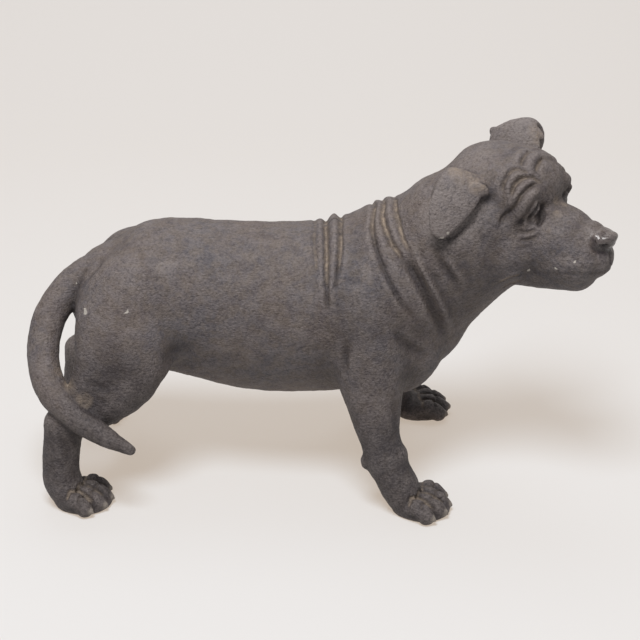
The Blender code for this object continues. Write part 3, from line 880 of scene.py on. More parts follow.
@dataclass
class Foreleg:
    """One shoulder and foreleg, down to the wrist.

    Attributes:
        side: The side that it is on.
        leg: Stations from the elbow to the paw, for the right side.
    """

    side: Side
    leg: tuple[Station, ...] = (
        (24, -33, 78, 13, 19), (25, -37.5, 62, 13, 16.5), (26.5, -42.5, 50, 11.5, 13.2),
        (28, -45.8, 41, 10.4, 11), (30, -48, 32, 9.6, 9.6), (31.8, -49.4, 26.5, 10, 10.7),
        (35, -51, 20, 9.4, 9.4), (38.4, -52.2, 13.5, 10, 9.8), (41.5, -52.8, 7.5, 10.5, 9),
    )

    def build(self, clay: Clay) -> None:
        """Adds the shoulder, the breast muscle and the leg.

        Args:
            clay: The clay that they are added to.
        """
        clay.ball((25, self.side.value * 26, 84), (24, 17, 32), turn=(0, -12, 0))
        clay.ball((39, self.side.value * 20, 71), (21, 17, 23), turn=(0, 30, 0))
        clay.loft(on_side(self.leg, self.side))

    def build_wrist(self, clay: Clay) -> None:
        """Adds the knob behind the wrist to the clay."""
        clay.ball((23.8, self.side.value * 50, 26), (4, 4.2, 5), turn=(0, 20, 0))

    def carve(self, skin: Skin) -> None:
        """Works in the grooves of the shoulder, armpit and elbow, and darkens the paint down the leg and low
        on the shoulder.

        Args:
            skin: The figure's skin.
        """
        shoulder = [
            (33.8, -41, 92.6), (36.8, -39.6, 87.3), (40.3, -37.7, 82.3), (49.2, -34.4, 74.5),
            (53.9, -30.5, 71.6),
        ]
        armpit = [(11.8, -42.8, 88), (11.8, -42.9, 80), (11.4, -43.7, 74.1), (10.4, -45.4, 66)]
        muscle = [(15, -42, 98), (22, -42, 84), (27, -44, 72)]
        inside = [(35, -47, 62), (36, -50, 48), (38, -54, 34)]
        for fold in (
            Fold(shoulder, 2.6, -1.7, fade=0.4),
            Fold(armpit, 2.4, -1.9, fade=0.4),
            Fold(muscle, 5.0, 0.8, fade=0.4),
            Fold(inside, 2.4, -0.8, fade=0.4),
        ):
            skin.stroke(fold, side=self.side)
        skin.dent((19, self.side.value * 47, 56), 4.5, 0.9)
        skin.dent((40.5, self.side.value * 51, 31), 4.5, 1.3)
        # the leg painted darker towards the paw, and the low shoulder too
        skin.paint(Paint.SHADE_AND_GRIME, (36, self.side.value * 50, 18), 56, 1.0)
        skin.paint(Paint.SHADE_AND_GRIME, (28, self.side.value * 44, 78), 40, 0.6)


@dataclass
class HindLeg:
    """One haunch, thigh, shin and hock, down to the paw.

    Attributes:
        side: The side that it is on.
        back: How much further back it stands than the right one.
    """

    side: Side
    back: float = 0.0

    def build(self, clay: Clay) -> None:
        """Adds the haunch and the leg.

        Args:
            clay: The clay that they are added to.
        """
        thigh = [(-92, -25, 86, 17, 25.5), (-91, -30, 76, 15, 22.2), (-88.6, -34, 67, 12.5, 18)]
        hamstring = [
            (-100, -26, 92, 14, 17.5), (-102.5, -31, 79, 12.5, 16), (-106, -36, 67, 10.5, 13.5),
            (-112, -39.5, 57, 8.5, 10.5), (-118, -42, 50, 7, 8.5),
        ]
        shin = [
            (-89.5, -36, 62.5, 11.5, 13), (-98, -38.5, 56, 10.5, 12.8), (-109, -41, 48.8, 9, 11),
            (-118, -42.5, 44.5, 8.2, 9.5), (-123, -43, 42, 8, 9),
        ]
        hock = [
            (-124.8, -43, 43, 7.8, 9), (-124.6, -43.5, 33, 7.7, 9.4), (-126.2, -44.5, 22, 8.2, 9.2),
            (-125.6, -46, 13, 9, 9.6), (-122.5, -47, 7, 10.5, 8.6),
        ]
        clay.ball((-91, self.side.value * 19, 88), (27.5, 20, 33), turn=(0, 8, 0))
        clay.ball((-78, self.side.value * 33, 67.5), (9.5, 6.5, 7), turn=(0, -15, 0))
        clay.loft(on_side(thigh, self.side))
        clay.loft(on_side(moved(hamstring, self.back / 2), self.side))
        clay.loft(on_side(moved(shin, self.back), self.side))
        clay.loft(on_side(moved(hock, self.back), self.side))

    def carve(self, skin: Skin) -> None:
        """Works in the grooves of the thigh, flank and hock, darkens the hock and the low thigh, and paints
        the wash and chips.

        Args:
            skin: The figure's skin.
        """
        groove = [
            (-110.8, -38.7, 67.5), (-108, -42.9, 65.3), (-104.9, -45.5, 63.4), (-100.5, -47.3, 62.7),
            (-92, -48.6, 64.5),
        ]
        rump = [(-104, -9, 118), (-107, -18, 112), (-113, -20, 102)]
        tendon = [(-127, -49, 42), (-123, -51, 34), (-121, -52, 24)]
        for fold in (
            Fold(groove, 2.3, -1.0, fade=0.5),
            Fold(rump, 2.6, -1.4, fade=0.4),
            Fold(tendon, 2.0, -0.8, fade=0.4),
        ):
            skin.stroke(fold, side=self.side)
        skin.dent((-68, self.side.value * 34, 72), 11, -2.3)
        skin.dent((-109, self.side.value * 46, 55), 5, -0.9)
        # the hock and the low thigh painted darker
        skin.paint(Paint.SHADE_AND_GRIME, (-120, self.side.value * 45, 16), 46, 1.0)
        skin.paint(Paint.SHADE_AND_GRIME, (-98, self.side.value * 44, 54), 36, 1.0)
        if self.side is Side.RIGHT:
            for centre in ((-117, -39.5, 59.5), (-112, -43, 55.5)):
                skin.paint(Paint.WASH, centre, 8, 0.85)
            skin.chip([(-111.1, -33.5, 98), (-110.3, -33.8, 96.2)], 1.3)
            skin.chip([(-90.7, -38.9, 98.8), (-117.7, -16.6, 104.8)], 0.9)


@dataclass
class Paw:
    """One paw of four toes with claws, spread from its heel.

    Attributes:
        side: The side that it is on.
        heel: The point under its heel.
        turn_out: How far it turns out from straight ahead, in degrees.
        size: Its size, beside the toes' measures.
        toes: Each toe's place across the paw, its reach and its spread in degrees.
    """

    side: Side
    heel: Point
    turn_out: float
    size: float
    toes: tuple[Point, ...] = ((-10, 9.5, -14), (-3.5, 13.5, -4), (3.5, 13.5, 4), (10, 9.5, 14))

    @property
    def place(self) -> Matrix:
        """The transform from the paw's axes to the figure's."""
        turn = Matrix.Rotation(math.radians(self.side.value * self.turn_out), 4, "Z")
        return Matrix.Translation(self.heel) @ turn @ Matrix.Scale(self.size, 4)

    def _toe_places(self) -> list[tuple[Matrix, float]]:
        """Works out where the toes are.

        Returns:
            Each toe's axes and its reach.
        """
        places = []
        for across, reach, spread in self.toes:
            turn = Matrix.Rotation(math.radians(spread), 4, "Z")
            places.append((self.place @ Matrix.Translation((0, across, 0)) @ turn, reach))
        return places

    def build(self, clay: Clay) -> None:
        """Adds the pad, the toes and the claws.

        Args:
            clay: The clay that they are added to.
        """
        clay.ball((0, 0, 4), (13, 13.5, 8), place=self.place)
        clay.ball((4, 0, 2.5), (15, 14, 5), place=self.place)
        for toe, reach in self._toe_places():
            knuckles = [
                (-3, 0, 5.2, 4, 4), (reach * 0.4, 0, 7.5, 4.9, 4.9), (reach * 0.8, 0, 6, 4.6, 4.7),
                (reach + 0.4, 0, 4, 4.6, 4.4),
            ]
            claw = [
                (reach + 2.2, 0, 5.6, 1.6, 1.7), (reach + 4.4, 0, 4.6, 1.3, 1.4),
                (reach + 5.3, 0, 3.2, 0.9, 1),
            ]
            clay.loft(knuckles, place=toe)
            clay.loft(claw, place=toe, sides=12)

    def carve(self, skin: Skin) -> None:
        """Works in the clefts between the toes and the creases over them, and paints the claws.

        Args:
            skin: The figure's skin.
        """
        for low, high in zip(self.toes, self.toes[1:]):
            across = (low[0] + high[0]) / 2
            reach = min(low[1], high[1])
            cleft = [
                (reach * 0.12, across * 0.85, 12), (reach * 0.6, across * 0.97, 9),
                (reach + 2, across * 1.1, 4),
            ]
            skin.stroke(Fold(cleft, 1.15, -1.4, wash=0.7), self.place)
        for toe, reach in self._toe_places():
            skin.paint(Paint.HORN, (reach + 5.2, 0, 3.8), 2.8, 1.0, place=toe)
            for back, depth, wash in ((reach * 0.78, -0.9, 0.3), (0.5, -0.7, 0.8)):
                crease = [(back + 1, -3.8, 8), (back, 0, 12.5), (back + 1, 3.8, 8)]
                skin.stroke(Fold(crease, 0.95, depth, wash=wash), toe)


@dataclass
class Tail:
    """The thick tail, which drops behind the rump and sweeps round the right hind leg.

    Attributes:
        stations: Stations from its root to its tip.
    """

    stations: tuple[Station, ...] = (
        (-92, 0, 104, 11, 11.5), (-108, -3, 105.4, 9.6, 10), (-121, -8, 99, 8.4, 8.8),
        (-130.8, -16, 87.4, 7.7, 8.2), (-133.9, -26, 73.2, 7.6, 8), (-130, -37, 59.2, 7.8, 7.8),
        (-117, -48, 48.6, 6.8, 7), (-102.2, -54.5, 41, 4.9, 5.1), (-90, -58, 35.6, 2.5, 2.6),
    )

    def build(self, clay: Clay) -> None:
        """Adds the tail to the clay."""
        clay.loft(self.stations, wide_axis=(0.3, 1, 0.6))

    def carve(self, skin: Skin) -> None:
        """Paints the wash where the tail meets the thigh, and darkens its tip.

        Args:
            skin: The figure's skin.
        """
        skin.paint(Paint.WASH, (-121, -38, 58), 7, 0.8)
        skin.paint(Paint.WASH, (-125, -33, 66), 7, 0.65)
        # the tip painted darker
        skin.paint(Paint.SHADE_AND_GRIME, self.stations[-1][:3], 14, 1.0)


@dataclass(frozen=True)
class Finish:
    """How fine the skin is made, in units.

    Attributes:
        body_voxel: The fusing of the big masses.
        body_rounds: How many rounds of smoothing they get.
        detail_voxel: The fusing of the whole figure.
        detail_rounds: How many rounds of smoothing it gets.
        ripples: The height, wavelength and seed of each unevenness of the skin.
    """

    body_voxel: float = 1.7
    body_rounds: int = 50
    detail_voxel: float = 0.64
    detail_rounds: int = 6
    ripples: tuple[tuple[float, float, Point], ...] = (
        (0.35, 9.0, (3.1, 7.7, 1.9)), (0.16, 2.6, (11.3, 2.2, 5.4)),
    )


@dataclass
class Statue:
    """The whole casting.

    Attributes:
        name: The name of its object.
        finish: How fine its skin is made.
        LEG_TOP, LEG_FADE: Where the big smoothing starts over the legs, and how far it grows.
        FACE_START, FACE_FADE: The same going back from the face.
        LEAST_SHARE: The share that the legs and the face take in it.
    """

    name: str = "bull_terrier_casting"
    finish: Finish = Finish()

    LEG_TOP, LEG_FADE = 45, 25
    FACE_START, FACE_FADE = 14, 20
    LEAST_SHARE = 0.2

    def __post_init__(self) -> None:
        """Sets up its parts."""
        self.trunk = Trunk()
        self.head = Head()
        self.ears = [Ear.right(), Ear.left()]
        self.forelegs = [Foreleg(side) for side in Side]
        self.hind_legs = [HindLeg(Side.RIGHT), HindLeg(Side.LEFT, back=2)]
        self.paws = [
            Paw(Side.RIGHT, (46.5, -52.6, 0), 18, 0.91),
            Paw(Side.LEFT, (52.5, 52, 0), 12, 0.94),
            Paw(Side.RIGHT, (-118.6, -46, 0), 16, 0.9),
            Paw(Side.LEFT, (-121.5, 47.5, 0), 12, 0.9),
        ]
        self.tail = Tail()

    def build(self) -> bpy.types.Object:
        """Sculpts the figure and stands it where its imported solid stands.

        Returns:
            The figure, in metres, with its paints as point attributes.
        """
        clay = Clay()
        for part in (self.trunk, self.head, *self.forelegs, *self.hind_legs):
            part.build(clay)
        figure = clay.into_object(self.name)
        self._fuse(figure, self.finish.body_voxel)
        self._relax(figure, self.finish.body_rounds, self._trunk_share)
        clay = Clay()
        clay.add_mesh(figure.data)
        for part in (*self.paws, self.tail, *self.ears):
            part.build(clay)
        for leg in self.forelegs:
            leg.build_wrist(clay)
        self.head.build_nose(clay)
        clay.mesh.to_mesh(figure.data)
        clay.mesh.free()
        self._fuse(figure, self.finish.detail_voxel)
        self._relax(figure, self.finish.detail_rounds)
        skin = self._carve(figure)
        self._relax(figure, 1)
        self._thin_out(figure)
        self._carry_paints(skin, figure)
        self._stand(figure)
        figure.data.shade_smooth()
        return figure

    def _carve(self, figure: bpy.types.Object) -> Skin:
        """Works the forms and the small relief into the skin.

        Args:
            figure: The fused figure.

        Returns:
            Its skin, with the paints.
        """
        skin = Skin(figure)
        parts = (self.trunk, self.head, *self.ears, *self.forelegs, *self.hind_legs, *self.paws, self.tail)
        for part in parts:
            part.carve(skin)
        for ripple in self.finish.ripples:
            skin.ripple(*ripple)
        skin.settle()
        return skin

    @staticmethod
    def _trunk_share(point: Vector) -> float:
        """Works out how much a point takes part in the big smoothing.

        Args:
            point: A point of the figure.

        Returns:
            Its share, from the least one to 1.
        """
        above_legs = min(max((point.z - Statue.LEG_TOP) / Statue.LEG_FADE, 0), 1)
        behind_face = min(max((Statue.FACE_START - (HEAD.inverted() @ point).x) / Statue.FACE_FADE, 0), 1)
        return Statue.LEAST_SHARE + (1 - Statue.LEAST_SHARE) * above_legs * behind_face

    @staticmethod
    def _bake(obj: bpy.types.Object) -> None:
        """Replaces the object's mesh with what its modifiers make of it.

        Args:
            obj: The object.
        """
        graph = bpy.context.evaluated_depsgraph_get()
        baked = bpy.data.meshes.new_from_object(obj.evaluated_get(graph))
        obj.modifiers.clear()
        obj.data = baked

    def _fuse(self, obj: bpy.types.Object, voxel: float) -> None:
        """Fuses the object's overlapping shapes into one skin of small squares.

        Args:
            obj: The object.
            voxel: The size of the squares.
        """
        remesh = obj.modifiers.new("fuse", "REMESH")
        remesh.mode = "VOXEL"
        remesh.voxel_size = voxel
        self._bake(obj)

    def _relax(
        self, obj: bpy.types.Object, rounds: int, share: Callable[[Vector], float] | None = None
    ) -> None:
        """Smooths the skin, each point by its share where one is given.

        Args:
            obj: The object.
            rounds: How many rounds of smoothing it gets.
            share: Works out the share of a point.
        """
        smooth = obj.modifiers.new("smooth", "SMOOTH")
        smooth.factor = 0.5
        smooth.iterations = rounds
        if share:
            group = obj.vertex_groups.new(name="share")
            for vertex in obj.data.vertices:
                group.add([vertex.index], share(vertex.co), "REPLACE")
            smooth.vertex_group = group.name
        self._bake(obj)
        obj.vertex_groups.clear()

    def _thin_out(self, obj: bpy.types.Object) -> None:
        """Keeps the triangles to their number, most of them where the form is fine.

        Args:
            obj: The object.
        """
        decimate = obj.modifiers.new("thin out", "DECIMATE")
        decimate.ratio = min(1.0, PIECE_TRIANGLES / (2 * len(obj.data.polygons)))
        self._bake(obj)

    @staticmethod
    def _carry_paints(skin: Skin, obj: bpy.types.Object) -> None:
        """Gives the object's points the paints of the skin, and those that follow from its form: the wear of
        its ridges and the painted shade of its creases.

        Args:
            skin: The skin that was painted.
            obj: The object.
        """
        mesh = obj.data
        tree = skin.tree_of_points()
        nearest = [tree.find(vertex.co)[1] for vertex in mesh.vertices]
        bulge = bulges(mesh)
        paints = {paint: values[nearest] for paint, values in skin.paints.items()}
        # painted shade: the deeper a point sinks into the form, the darker it is painted
        paints[Paint.HOLLOW_SHADE] = np.clip(-bulge, 0, 1)
        paints[Paint.WORN] = np.clip(bulge, 0, 1)
        for paint, values in paints.items():
            attribute = mesh.attributes.new(paint.value, "FLOAT", "POINT")
            attribute.data.foreach_set("value", values.astype(np.float32))

    @staticmethod
    def _stand(obj: bpy.types.Object) -> None:
        """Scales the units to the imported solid's, cuts the soles flat and centres the figure.

        Args:
            obj: The object.
        """
        low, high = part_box(NODE)
        unit = (high.x - low.x) / spread(obj.data)[0]
        clay = bmesh.new()
        clay.from_mesh(obj.data)
        geometry = clay.verts[:] + clay.edges[:] + clay.faces[:]
        cut = bmesh.ops.bisect_plane(
            clay, geom=geometry, plane_co=(0, 0, 0), plane_no=(0, 0, -1), clear_outer=True
        )
        rim = [item for item in cut["geom_cut"] if isinstance(item, bmesh.types.BMEdge)]
        bmesh.ops.holes_fill(clay, edges=rim, sides=0)
        bmesh.ops.triangulate(clay, faces=clay.faces[:])
        clay.transform(Matrix.Diagonal((unit, unit, unit, 1)))
        clay.to_mesh(obj.data)
        clay.free()
        points = np.array([vertex.co for vertex in obj.data.vertices])
        middle = (points.min(axis=0) + points.max(axis=0)) / 2
        obj.data.transform(Matrix.Translation((-middle[0], -middle[1], 0)))


def spread(mesh: bpy.types.Mesh) -> np.ndarray:
    """A mesh's length, width and height."""
    points = np.array([vertex.co for vertex in mesh.vertices])
    return points.max(axis=0) - points.min(axis=0)


def bulges(mesh: bpy.types.Mesh, rounds: int = 4, gain: float = 5.0) -> np.ndarray:
    """Works out how far each point stands out of the skin around it.

    Args:
        mesh: The mesh, in the figure's units.
        rounds: How many times the values are spread over the neighbours.
        gain: How strongly they are counted.

    Returns:
        One value a point, above zero on ridges and below zero in creases.
    """
    points = np.array([vertex.co for vertex in mesh.vertices])
    normals = np.array([vertex.normal for vertex in mesh.vertices])
    ends = np.array([edge.vertices for edge in mesh.edges])
    count = np.bincount(ends.ravel(), minlength=len(points)).astype(float)
    count[count == 0] = 1

    def mean_of_neighbours(values: np.ndarray) -> np.ndarray:
        """Works out the mean of each point's neighbours' values.

        Args:
            values: One value or row a point.

        Returns:
            As many means.
        """
        total = np.zeros_like(values)
        np.add.at(total, ends[:, 0], values[ends[:, 1]])
        np.add.at(total, ends[:, 1], values[ends[:, 0]])
        return total / (count[:, None] if values.ndim == 2 else count)

    smooth = points
    for _ in range(rounds):
        smooth = mean_of_neighbours(smooth)
    values = np.einsum("ij,ij->i", points - smooth, normals)
    for _ in range(2):
        values = mean_of_neighbours(values)
    return values * gain


class Nodes:
    """A material's node tree, built up one node at a time."""

    def __init__(self, name: str) -> None:
        """Starts a material.

        Args:
            name: The material's name.
        """
        self.material = bpy.data.materials.new(name)
        self.material.use_nodes = True
        self.tree = self.material.node_tree
        self.shader = self.tree.nodes["Principled BSDF"]
        self.position = self.tree.nodes.new("ShaderNodeTexCoord").outputs["Object"]

    def _set(self, socket: bpy.types.NodeSocket, value: object) -> None:
        """Links a socket, or sets its value.

        Args:
            socket: The socket.
            value: Another socket, or a value.
        """
        if isinstance(value, bpy.types.NodeSocket):
            self.tree.links.new(value, socket)
        else:
            socket.default_value = value

    def put(self, name: str, value: object) -> None:
        """Links or sets one of the shader's sockets."""
        self._set(self.shader.inputs[name], value)

    def share(self, paint: Paint) -> bpy.types.NodeSocket:
        """Reads the share of a paint at each point of the skin.

        Args:
            paint: The paint.

        Returns:
            Its share.
        """
        node = self.tree.nodes.new("ShaderNodeAttribute")
        node.attribute_name = paint.value
        return node.outputs["Fac"]

    def noise(
        self, size: float, detail: float = 2.0, roughness: float = 0.5, stretch: Point = (1, 1, 1)
    ) -> bpy.types.NodeSocket:
        """Adds cloudy noise.

        Args:
            size: The size of its clouds, in metres.
            detail: How many finer layers it has.
            roughness: How strong those are.
            stretch: How many times longer the clouds are along X, Y and Z.

        Returns:
            The noise, from 0 to 1.
        """
        mapping = self.tree.nodes.new("ShaderNodeMapping")
        mapping.inputs["Scale"].default_value = tuple(1 / (size * grow) for grow in stretch)
        self.tree.links.new(self.position, mapping.inputs["Vector"])
        node = self.tree.nodes.new("ShaderNodeTexNoise")
        node.inputs["Scale"].default_value = 1.0
        node.inputs["Detail"].default_value = detail
        node.inputs["Roughness"].default_value = roughness
        self.tree.links.new(mapping.outputs["Vector"], node.inputs["Vector"])
        return node.outputs["Fac"]

    def ramp(
        self, value: object, low: float, high: float, to: tuple[float, float] = (0.0, 1.0)
    ) -> bpy.types.NodeSocket:
        """Stretches the part of a value between low and high over another range.

        Args:
            value: The value.
            low: Where the part starts.
            high: Where it ends.
            to: The other range.

        Returns:
            The new value.
        """
        node = self.tree.nodes.new("ShaderNodeMapRange")
        node.clamp = True
        for socket, part in zip(node.inputs, (value, low, high, *to)):
            self._set(socket, part)
        return node.outputs["Result"]

    def math(self, kind: str, first: object, second: object) -> bpy.types.NodeSocket:
        """Works on two values.

        Args:
            kind: What is done.
            first: The first value.
            second: The second value.

        Returns:
            The result.
        """
        node = self.tree.nodes.new("ShaderNodeMath")
        node.operation = kind
        self._set(node.inputs[0], first)
        self._set(node.inputs[1], second)
        return node.outputs["Value"]

    def times(self, first: object, second: object) -> bpy.types.NodeSocket:
        """Multiplies two values."""
        return self.math("MULTIPLY", first, second)

    def mix(self, share: object, first: object, second: object) -> bpy.types.NodeSocket:
        """Mixes two colours.

        Args:
            share: The share of the second one.
            first: The first colour.
            second: The second colour.

        Returns:
            The mixed colour.
        """
        node = self.tree.nodes.new("ShaderNodeMix")
        node.data_type = "RGBA"
        self._set(node.inputs["Factor"], share)
        self._set(node.inputs[6], first)
        self._set(node.inputs[7], second)
        return node.outputs[2]

    def bump(
        self, height: object, distance: float, strength: object, under: bpy.types.NodeSocket | None = None
    ) -> bpy.types.NodeSocket:
        """Raises the surface by a height, for its shading alone.

        Args:
            height: The height.
            distance: How far a height of 1 is, in metres.
            strength: How strongly it counts.
            under: The surface that it is laid on.

        Returns:
            The surface.
        """
        node = self.tree.nodes.new("ShaderNodeBump")
        node.inputs["Distance"].default_value = distance
        self._set(node.inputs["Strength"], strength)
        self._set(node.inputs["Height"], height)
        if under is not None:
            self.tree.links.new(under, node.inputs["Normal"])
        return node.outputs["Normal"]


@dataclass(frozen=True)
class DarkResin:
    """Cast resin painted a dark warm charcoal, with an ochre wash left in its creases, painted shade in its
    hollows and under its ears and jaw, and a painted sheen on its skull.

    Attributes:
        name: The material's name.
        warm: The paint where it is browner.
        cool: The paint where it is bluer.
        brown: The brown that is stippled over it.
        deep: The near-black of the dark grain and the darker places, also laid in the hollows as painted
            shade.
        dusty: The pale paint of the dusty patches and the worn ridges, also laid on the skull as a painted
            sheen.
        ochre: The wash.
        horn: The claws.
        chip: The pale resin where the paint is chipped.
        roughness: How rough the coat is.
        polished_roughness: How rough the nose and eyes are.
    """

    name: str = SLOT
    warm: Colour = (0.082, 0.063, 0.058, 1)
    cool: Colour = (0.060, 0.054, 0.062, 1)
    brown: Colour = (0.105, 0.080, 0.060, 1)
    deep: Colour = (0.015, 0.011, 0.012, 1)
    dusty: Colour = (0.166, 0.143, 0.136, 1)
    ochre: Colour = (0.28, 0.22, 0.165, 1)
    horn: Colour = (0.30, 0.26, 0.22, 1)
    chip: Colour = (0.40, 0.37, 0.33, 1)
    roughness: float = 0.66
    polished_roughness: float = 0.26

    def material(self) -> bpy.types.Material:
        """Makes the material.

        Returns:
            The material, which reads the skin's paints.
        """
        nodes = Nodes(self.name)
        colour = self._colour(nodes)
        grain = nodes.noise(0.0011, detail=3, roughness=0.65)
        hair = nodes.noise(0.0007, detail=2, roughness=0.6, stretch=(2.2, 1, 1))
        lumps = nodes.noise(0.0042, detail=2)
        polish = nodes.share(Paint.POLISH)
        normal = nodes.bump(lumps, 0.0015, 0.5)
        matt = nodes.math("SUBTRACT", 1.0, nodes.times(polish, 0.85))
        normal = nodes.bump(hair, 0.0008, nodes.times(matt, 0.6), normal)
        normal = nodes.bump(grain, 0.001, nodes.times(matt, 0.65), normal)
        rough = nodes.ramp(grain, 0.3, 0.75, (self.roughness - 0.08, self.roughness + 0.12))
        polishing = nodes.times(polish, self.roughness - self.polished_roughness)
        rough = nodes.math("SUBTRACT", rough, polishing)
        nodes.put("Base Color", colour)
        nodes.put("Roughness", rough)
        nodes.put("Metallic", 0.0)
        nodes.put("Specular IOR Level", 0.42)
        nodes.put("Normal", normal)
        return nodes.material

    def _colour(self, nodes: Nodes) -> bpy.types.NodeSocket:
        """Lays the paint, its wear, its painted shade and sheen and its wash one over another.

        Args:
            nodes: The material being built.

        Returns:
            The colour.
        """
        broad = nodes.ramp(nodes.noise(0.034, detail=3), 0.36, 0.64)
        patches = nodes.ramp(nodes.noise(0.006, detail=4, roughness=0.65), 0.38, 0.66)
        speckle = nodes.noise(0.0011, detail=3, roughness=0.75, stretch=(1.25, 1, 1))
        tint = nodes.ramp(nodes.noise(0.0045, detail=3, roughness=0.6), 0.42, 0.6)
        colour = nodes.mix(broad, self.warm, self.cool)
        colour = nodes.mix(nodes.times(patches, 0.4), colour, self.dusty)
        colour = nodes.mix(nodes.times(tint, 0.45), colour, self.brown)
        colour = nodes.mix(nodes.ramp(speckle, 0.52, 0.75, (0, 0.65)), colour, self.dusty)
        colour = nodes.mix(nodes.ramp(speckle, 0.48, 0.28, (0, 0.65)), colour, self.deep)
        # darker places: painted shade under the ears and the jaw, and darker paint low on the legs and on the
        # nose
        shade_and_grime = nodes.times(nodes.share(Paint.SHADE_AND_GRIME), nodes.ramp(speckle, 0.75, 0.35, (0.5, 0.8)))
        colour = nodes.mix(shade_and_grime, colour, self.deep)
        worn = nodes.times(nodes.share(Paint.WORN), nodes.ramp(speckle, 0.3, 0.6))
        colour = nodes.mix(nodes.times(worn, 0.5), colour, self.dusty)
        # painted shade in the creases
        hollow = nodes.share(Paint.HOLLOW_SHADE)
        colour = nodes.mix(nodes.times(hollow, 0.6), colour, self.deep)
        broken = nodes.ramp(nodes.noise(0.0035, detail=4, roughness=0.65), 0.3, 0.62)
        wash = nodes.times(nodes.ramp(nodes.share(Paint.WASH), 0.15, 0.9), broken)
        colour = nodes.mix(nodes.times(wash, 0.75), colour, self.ochre)
        # pale dusty places, and the painted sheen on the skull
        dust_and_sheen = nodes.times(nodes.share(Paint.DUST_AND_SHEEN), nodes.ramp(speckle, 0.28, 0.6))
        colour = nodes.mix(dust_and_sheen, colour, self.dusty)
        colour = nodes.mix(nodes.ramp(nodes.share(Paint.CHIP), 0.3, 0.6, (0, 0.8)), colour, self.chip)
        return nodes.mix(nodes.times(nodes.share(Paint.HORN), 0.6), colour, self.horn)


@dataclass(frozen=True)
class PaleFloor:
    """A plain pale matt floor, which gives off some light of its own.

    Attributes:
        name: The material's name.
        colour: Its own cool colour, which looks pale and neutral where the lamps light it.
        painted_glow: Warm light that it gives off of its own, a painted light that keeps its shadows light
            and warm.
    """

    name: str = "pale_floor"
    colour: Colour = (0.22, 0.26, 0.30, 1)
    painted_glow: Colour = (0.475, 0.395, 0.32, 1)

    def material(self) -> bpy.types.Material:
        """Makes the material.

        Returns:
            The material.
        """
        nodes = Nodes(self.name)
        nodes.put("Base Color", self.colour)
        # painted light: the floor gives off warm light of its own, which keeps its shadows light
        nodes.put("Emission Color", self.painted_glow)
        nodes.put("Emission Strength", 1.0)
        nodes.put("Roughness", 0.9)
        return nodes.material


@dataclass(frozen=True)
class Lamp:
    """One soft area light.

    Attributes:
        name: Its name.
        place: Where it is, in metres.
        size: Its width, in metres.
        power: Its power, in watts.
        colour: Its colour.
    """

    name: str
    place: Point
    size: float
    power: float
    colour: Point = (1, 1, 1)


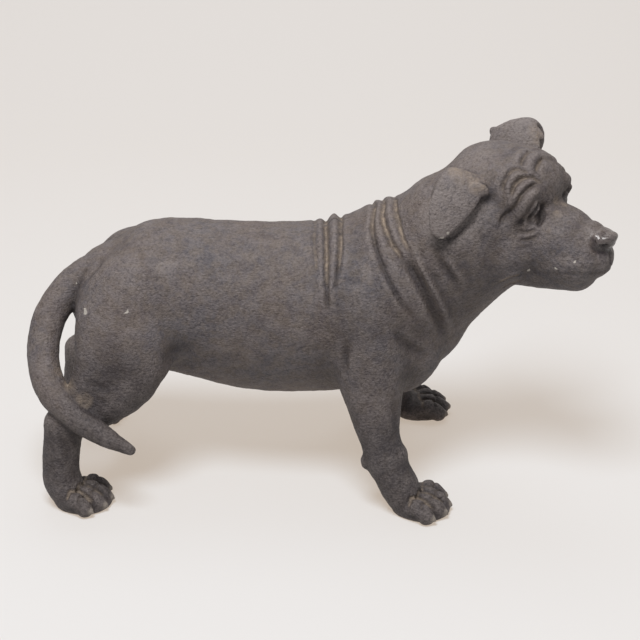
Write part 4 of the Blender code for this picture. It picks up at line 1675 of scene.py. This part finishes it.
@dataclass
class Studio:
    """The floor, the backdrop, the lights and the camera.

    Attributes:
        camera_place: The camera's place, from the middle of the figure's layout, in metres.
        camera_aim: The point that it looks at.
        lens: Its focal length in millimetres, on a 36 mm sensor.
        floor_reach: How far the floor reaches to each side and to the front, in metres.
        wall_start: Where the backdrop stands.
        wall_height: How high it is.
        bend: The radius of the bend between them.
        sky: The colour of the light from all round.
        sky_strength: Its strength.
        lamps: The lights.
    """

    camera_place: Point = (0.0022, -0.7547, 0.412)
    camera_aim: Point = (0.0022, 0.0003, 0.0775)
    lens: float = 93.6
    floor_reach: float = 1.6
    wall_start: float = 0.9
    wall_height: float = 1.8
    bend: float = 0.4
    sky: Colour = (0.93, 0.95, 1.0, 1)
    sky_strength: float = 0.34
    lamps: tuple[Lamp, ...] = (
        Lamp("key_light", (-0.15, -0.55, 1.27), 0.55, 22.0, (1, 0.985, 0.975)),
        Lamp("back_light", (0.0, 0.7, 1.3), 0.9, 4.5, (1, 0.99, 0.985)),
    )

    def build(self) -> None:
        """Builds the whole studio."""
        self._floor()
        for lamp in self.lamps:
            self._light(lamp)
        self._world()
        self._camera()

    def _floor(self) -> None:
        """The floor, which bends up into the backdrop."""
        foot = self.wall_start - self.bend
        profile = [(-self.floor_reach, 0.0), (foot, 0.0)]
        for step in range(1, 13):
            angle = math.pi / 2 * step / 12
            profile.append((foot + self.bend * math.sin(angle), self.bend - self.bend * math.cos(angle)))
        profile.append((self.wall_start, self.wall_height))
        mesh = bmesh.new()
        edges = (-self.floor_reach, self.floor_reach)
        rows = [[mesh.verts.new((x, y, z)) for y, z in profile] for x in edges]
        for low, high in zip(range(len(profile) - 1), range(1, len(profile))):
            mesh.faces.new((rows[0][low], rows[1][low], rows[1][high], rows[0][high]))
        data = bpy.data.meshes.new("floor")
        mesh.to_mesh(data)
        mesh.free()
        data.shade_smooth()
        data.materials.append(PaleFloor().material())
        floor = bpy.data.objects.new("floor", data)
        bpy.context.scene.collection.objects.link(floor)

    def _light(self, lamp: Lamp) -> None:
        """Hangs one area light, turned towards the figure.

        Args:
            lamp: The light.
        """
        data = bpy.data.lights.new(lamp.name, "AREA")
        data.shape = "DISK"
        data.size = lamp.size
        data.energy = lamp.power
        data.color = lamp.colour
        light = bpy.data.objects.new(lamp.name, data)
        light.location = lamp.place
        falling = Vector(self.camera_aim) - Vector(lamp.place)
        light.rotation_euler = falling.to_track_quat("-Z", "Y").to_euler()
        bpy.context.scene.collection.objects.link(light)

    def _world(self) -> None:
        """The soft light that comes from all round."""
        world = bpy.data.worlds.new("room")
        world.use_nodes = True
        background = world.node_tree.nodes["Background"]
        background.inputs["Color"].default_value = self.sky
        background.inputs["Strength"].default_value = self.sky_strength
        bpy.context.scene.world = world

    def _camera(self) -> None:
        """The camera, at the photograph's viewing angle."""
        data = bpy.data.cameras.new("camera")
        data.sensor_width = 36.0
        data.lens = self.lens
        camera = bpy.data.objects.new("camera", data)
        camera.location = self.camera_place
        looking = Vector(self.camera_aim) - Vector(self.camera_place)
        camera.rotation_euler = looking.to_track_quat("-Z", "Y").to_euler()
        bpy.context.scene.collection.objects.link(camera)
        bpy.context.scene.camera = camera


def main() -> None:
    """Builds the statue and its studio, and reports each piece."""
    logging.basicConfig(level=logging.INFO, format="%(name)s: %(message)s")
    figure = Statue().build()
    figure.data.materials.append(DarkResin().material())
    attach(figure, "root")
    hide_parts(NODE)
    LOG.info("%s has %d faces", figure.name, len(figure.data.polygons))
    Studio().build()
    bpy.context.scene.view_settings.view_transform = "Standard"
    LOG.info("the studio is lit")


if __name__ == "__main__":
    main()
